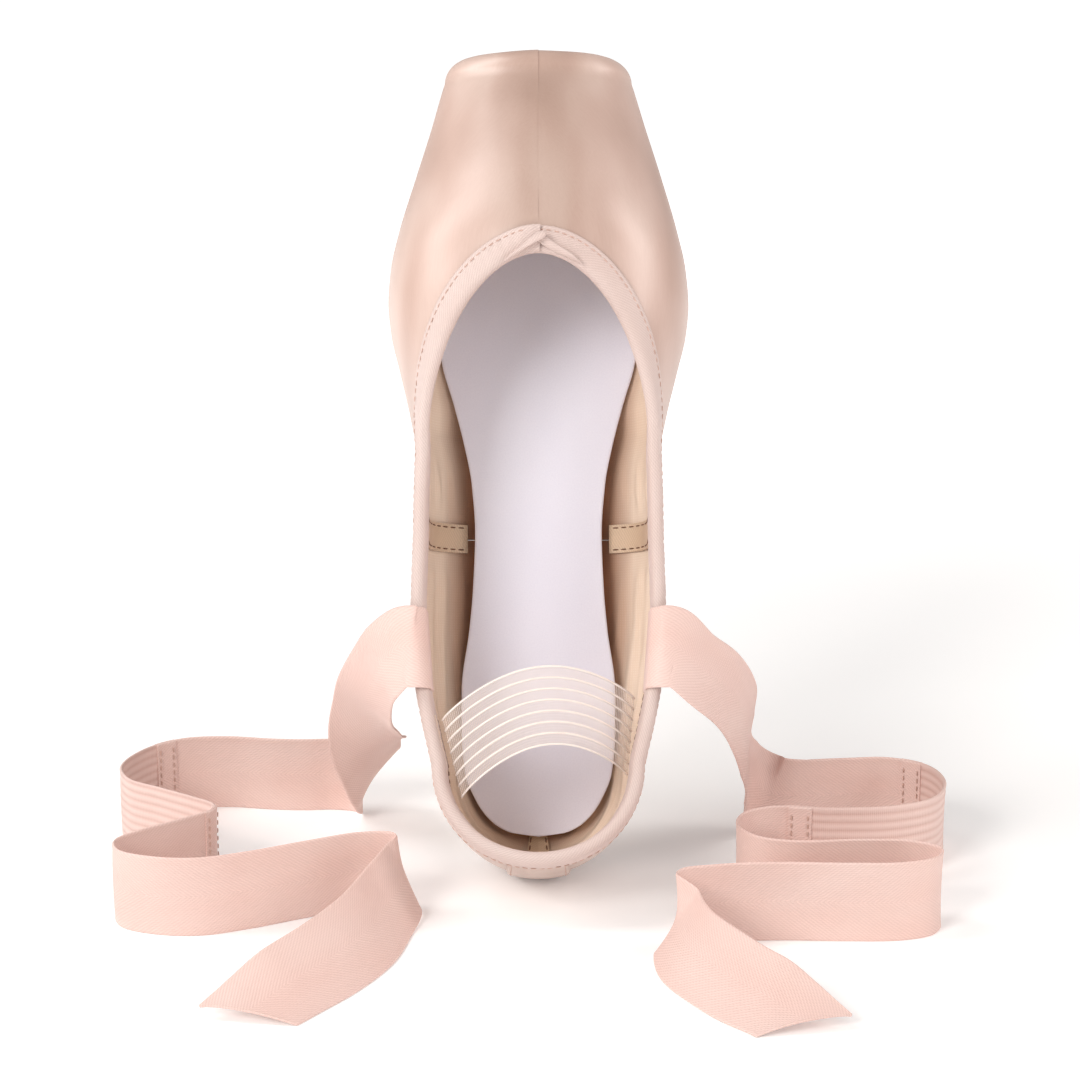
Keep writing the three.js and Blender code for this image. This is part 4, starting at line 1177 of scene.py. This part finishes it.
RIGHT_ROUTE = over_the_rim(1) + [
    ((44, -15, 62), (0.1, 0.5, 0.85)), ((51.5, -7, 53.5), (0.25, 0.55, 0.8)),
    ((56.5, 2, 43), (0.3, 0.6, 0.7)), ((58.5, 11, 31), (0.15, 0.6, 0.75)),
    ((60, 18, 20.5), (0, 0.4, 0.9)), ((65, 22.5, 12.9), (0, 0.1, 1)),
] + laid([
    (75, 24), (88, 25.5), (100, 26), (110, 20), (113.5, 8), (109, -5), (98, -11.5), (80, -13.5), (64, -12),
    (55.5, -17), (53.5, -25), (58, -33.5), (68, -37), (86, -36), (99, -37), (106, -42), (103.5, -48.5),
    (95, -52), (80, -52.5), (62, -52), (46, -53.5), (36.5, -57),
]) + leaning([
    ((30, -65, 0.5), (0.5, 0.12, 0.86)), ((31.5, -78, 0), (0.55, 0.22, 0.8)),
    ((38.5, -92, 0), (0.66, 0.28, 0.69)), ((44.6, -100.9, 0), (0.72, 0.36, 0.6)),
    ((51, -108, 0.3), (0.77, 0.48, 0.38)), ((60, -118.5, 0.6), (0.77, 0.62, 0.12)),
])


# Each ribbon's route, and how far along it the elastic insert starts and ends.
RIBBONS = [("left", LEFT_ROUTE, 166.5, 236), ("right", RIGHT_ROUTE, 140.5, 212)]


def catmull_rom(points, per_span):
    """A centripetal Catmull-Rom curve sampled evenly in each of its spans."""
    points = np.asarray(points, float)
    padded = np.concatenate([[2 * points[0] - points[1]], points, [2 * points[-1] - points[-2]]])
    sampled = []
    weights = np.arange(per_span) / per_span
    for i in range(len(points) - 1):
        p0, p1, p2, p3 = padded[i:i + 4]
        gaps = [max(1e-4, np.sum((b - a) ** 2) ** 0.25) for a, b in ((p0, p1), (p1, p2), (p2, p3))]
        if gaps[1] <= 1e-4:
            gaps = [1.0, 1.0, 1.0]
        d0, d1, d2 = gaps
        t1 = ((p1 - p0) / d0 - (p2 - p0) / (d0 + d1) + (p2 - p1) / d1) * d1
        t2 = ((p2 - p1) / d1 - (p3 - p1) / (d1 + d2) + (p3 - p2) / d2) * d1
        s = weights[:, None]
        square = -3 * p1 + 3 * p2 - 2 * t1 - t2
        cube = 2 * p1 - 2 * p2 + t1 + t2
        sampled.append(p1 + t1 * s + square * s**2 + cube * s**3)
    sampled.append(points[-1:])
    return np.concatenate(sampled)


class Track:
    """The middle line of a ribbon, with the direction of its upper edge and of its face."""

    def __init__(self, route):
        self.path = catmull_rom([place for place, _ in route], 60)
        ups = catmull_rom([np.array(up) / np.linalg.norm(up) for _, up in route], 60)
        self.places = distances_along(self.path)
        self.length = self.places[-1]
        self.travel = unit(np.gradient(self.path, axis=0))
        self.ups = unit(ups - self.travel * np.sum(ups * self.travel, -1, keepdims=True))

    def at(self, distances):
        lines = (self.path, self.travel, self.ups)
        point, travel, up = (read_at(distances, self.places, line) for line in lines)
        travel = unit(travel)
        up = unit(up - travel * np.sum(up * travel, -1, keepdims=True))
        return point, up, unit(np.cross(travel, up))


RIBBON_ACROSS = np.array([-1, -0.985, -0.965, -0.94, *np.linspace(-0.88, 0.88, 23), 0.94, 0.965, 0.985, 1])


def ribbon_edge(across):
    """The half thickness of a ribbon: rounded at its edges, with a firm selvedge."""
    edge = np.sqrt(np.clip(1 - np.clip((np.abs(across) - 0.94) / 0.06, 0, 1) ** 2, 0.03, 1))
    selvedge = 1 + 0.35 * np.exp(-(((np.abs(across) - 0.955) / 0.02) ** 2))
    return RIBBON / 2 * edge * selvedge


def ribbon_stretch(name, track, start, end, material, tip=0.0, ribs=0.0, side_step=0.0, width_share=1.0):
    """A stretch of ribbon; tip cuts away the edge that lies on the floor, and ribs raises cords along it."""
    count = max(3, int((end - start) / 0.8))
    distances = np.linspace(start, end, count)
    point, up, face = track.at(distances)
    share = np.clip((end - distances) / tip, 0.02, 1) if tip else np.ones(count)
    flow = 0.35 * np.sin(distances * 0.13) * eased(distances, 30, 60)
    ridges = ribs * (0.5 + 0.5 * np.cos(RIBBON_ACROSS * math.pi * 8))
    half = (ribbon_edge(RIBBON_ACROSS) + ridges)[None, :]
    upper = np.where(up[:, 2:] < 0, -1, 1)
    top = upper * (1 - share[:, None] * (1 - upper * RIBBON_ACROSS[None, :])) * width_share
    place = point[:, None] + up[:, None] * (top * RIBBON_WIDTH / 2)[..., None]
    cup = flow[:, None] * (1 - top**2)
    bottom = point[:, 2] - np.abs(up[:, 2]) * RIBBON_WIDTH / 2 - np.abs(face[:, 2]) * RIBBON / 2
    place[..., 2] += np.maximum(0, -bottom)[:, None]
    front = place + face[:, None] * (cup + side_step + half)[..., None]
    back = place + face[:, None] * (cup + side_step - half)[..., None]
    rings = np.concatenate([front, back[:, ::-1]], 1)
    across_mm = top * RIBBON_WIDTH / 2
    coords = np.stack([np.broadcast_to(distances[:, None], top.shape), across_mm, 0 * top], -1)
    coords = np.concatenate([coords, coords[:, ::-1]], 1)
    return swept(name, rings, coords, material, from_standing, sharp=70)


def ribbon_stitches(name, track, boxes, material):
    """Boxes of stitches where the insert is sewn to the ribbon, on both faces."""
    rows = []
    for low, high in boxes:
        for face_side in (1, -1):
            for distance in (low, high):
                across = np.linspace(-0.86, 0.86, 30)
                point, up, face = track.at(np.full(30, distance))
                flow = 0.35 * math.sin(distance * 0.13) * (1 - across**2)
                path = point + up * (across * RIBBON_WIDTH / 2)[:, None]
                path = path + face * (flow + face_side * (RIBBON / 2 + THREAD_HEIGHT))[:, None]
                rows.append((path, face * face_side))
    return stitches(name, rows, RIBBON_STITCH, material, convert=from_standing)


def build_ribbon(side_name, route, insert_from, insert_to):
    track = Track(route)
    overlap = TURNING_LENGTH
    near = ribbon_stretch(f"ribbon_{side_name}_near_cloth", track, 0, insert_from - INSERT_GAP,
                          LOOKS["ribbon"])
    insert = ribbon_stretch(f"ribbon_{side_name}_insert_cloth", track, insert_from + INSERT_GAP,
                            insert_to - INSERT_GAP, LOOKS["elastic"], ribs=INSERT_RIBS)
    far = ribbon_stretch(f"ribbon_{side_name}_far_cloth", track, insert_to + INSERT_GAP, track.length,
                         LOOKS["ribbon"], tip=RIBBON_TIP)
    nodes = {"near": "near", "insert": "elastic_insert", "far": "far"}
    slots = {"near": "ribbon", "insert": "insert_elastic", "far": "ribbon"}
    for end_name, place in (("first", insert_from), ("second", insert_to)):
        for face_side, word in ((1, "outer"), (-1, "inner")):
            fold = ribbon_stretch(f"ribbon_{side_name}_{end_name}_{word}_turning", track, place - overlap / 2,
                                  place + overlap / 2, LOOKS["ribbon"], side_step=face_side * TURNING_STEP,
                                  width_share=0.995)
            placed(fold, "ribbon")
    boxes = [(place - overlap / 2 + 1, place + overlap / 2 - 1) for place in (insert_from, insert_to)]
    sewn = ribbon_stitches(f"ribbon_{side_name}_stitches", track, boxes, LOOKS["thread"])
    placed(sewn, "ribbon")
    for key, piece in (("near", near), ("insert", insert), ("far", far)):
        placed(piece, slots[key], f"ribbon_{side_name}_{nodes[key]}")


# ---- floor, light and camera ----

TARGET = Vector(from_standing((0.45, 14.0, 89.91)))
EYE = Vector(from_standing((0.45, -745.42, 307.7)))
LENS = 95.83
SENSOR_WIDTH = 36
FLOOR_SIZE = 6

# Distances in millimetres from which the floor's glow grows and where it ends, and its two strengths.
FLOOR_GLOW = (130, 900, 0.1, 0.7)


def build_stage():
    bpy.ops.mesh.primitive_plane_add(size=FLOOR_SIZE, location=(0, 0, 0))
    floor = bpy.context.active_object
    floor.name = "floor"
    look = Look("floor_paper", 0.95, specular=0.1, bare=True)
    grain = look.noise(0.01, (1, 1, 1), 2)
    look.colour(look.ramp(grain, (0.2, (252, 252, 252)), (0.8, (255, 255, 255))))
    look.shader.inputs["Emission Color"].default_value = (1, 1, 1, 1)
    away = look.node("ShaderNodeVectorMath", operation="LENGTH")
    look.link(look.place, away.inputs[0])
    glow = look.node("ShaderNodeMapRange", interpolation_type="SMOOTHSTEP")
    look.link(away.outputs["Value"], glow.inputs[0])
    for slot, value in zip(("From Min", "From Max", "To Min", "To Max"), FLOOR_GLOW):
        glow.inputs[slot].default_value = value
    look.link(glow.outputs[0], look.shader.inputs["Emission Strength"])
    floor.data.materials.append(look.material)


WORLD_STRENGTH = 0.36
LIGHT_AIM = Vector((0, 0, 0.1))
# Each light's name, place and size in metres, watts and colour.
LIGHTS = [
    ("key", (-0.68, -0.92, 0.72), (0.5, 0.5), 9.4, (255, 252, 248)),
    ("fill", (0.85, -0.85, 0.5), (0.7, 0.7), 3.6, (255, 248, 244)),
    ("glint_left", (-0.74, 0.0, 0.84), (0.3, 0.9), 5.0, (255, 253, 251)),
    ("glint_right", (0.85, -0.02, 0.62), (0.22, 0.8), 3.0, (255, 247, 243)),
]


def build_light():
    world = bpy.data.worlds.new("studio")
    world.use_nodes = True
    world.node_tree.nodes["Background"].inputs[0].default_value = (1, 1, 1, 1)
    world.node_tree.nodes["Background"].inputs[1].default_value = WORLD_STRENGTH
    bpy.context.scene.world = world
    for name, place, size, watts, colour in LIGHTS:
        light = bpy.data.lights.new(name, "AREA")
        light.shape = "RECTANGLE"
        light.size, light.size_y = size
        light.energy = watts
        light.color = linear(*colour)[:3]
        made = bpy.data.objects.new(name, light)
        made.location = place
        made.rotation_euler = (LIGHT_AIM - Vector(place)).to_track_quat("-Z", "Y").to_euler()
        bpy.context.scene.collection.objects.link(made)


def build_camera():
    data = bpy.data.cameras.new("camera")
    data.lens = LENS
    data.sensor_width = SENSOR_WIDTH
    camera = bpy.data.objects.new("camera", data)
    camera.location = EYE
    camera.rotation_euler = (TARGET - EYE).to_track_quat("-Z", "Y").to_euler()
    bpy.context.scene.collection.objects.link(camera)
    bpy.context.scene.camera = camera
    bpy.context.scene.view_settings.view_transform = "Standard"


build_camera()
build_upper()
build_tapes()
build_heel_patch()
build_sole()
build_binding()
build_tails()
build_elastic_ends()
build_elastic()
for side_name, route, insert_from, insert_to in RIBBONS:
    build_ribbon(side_name, route, insert_from, insert_to)
build_stage()
build_light()
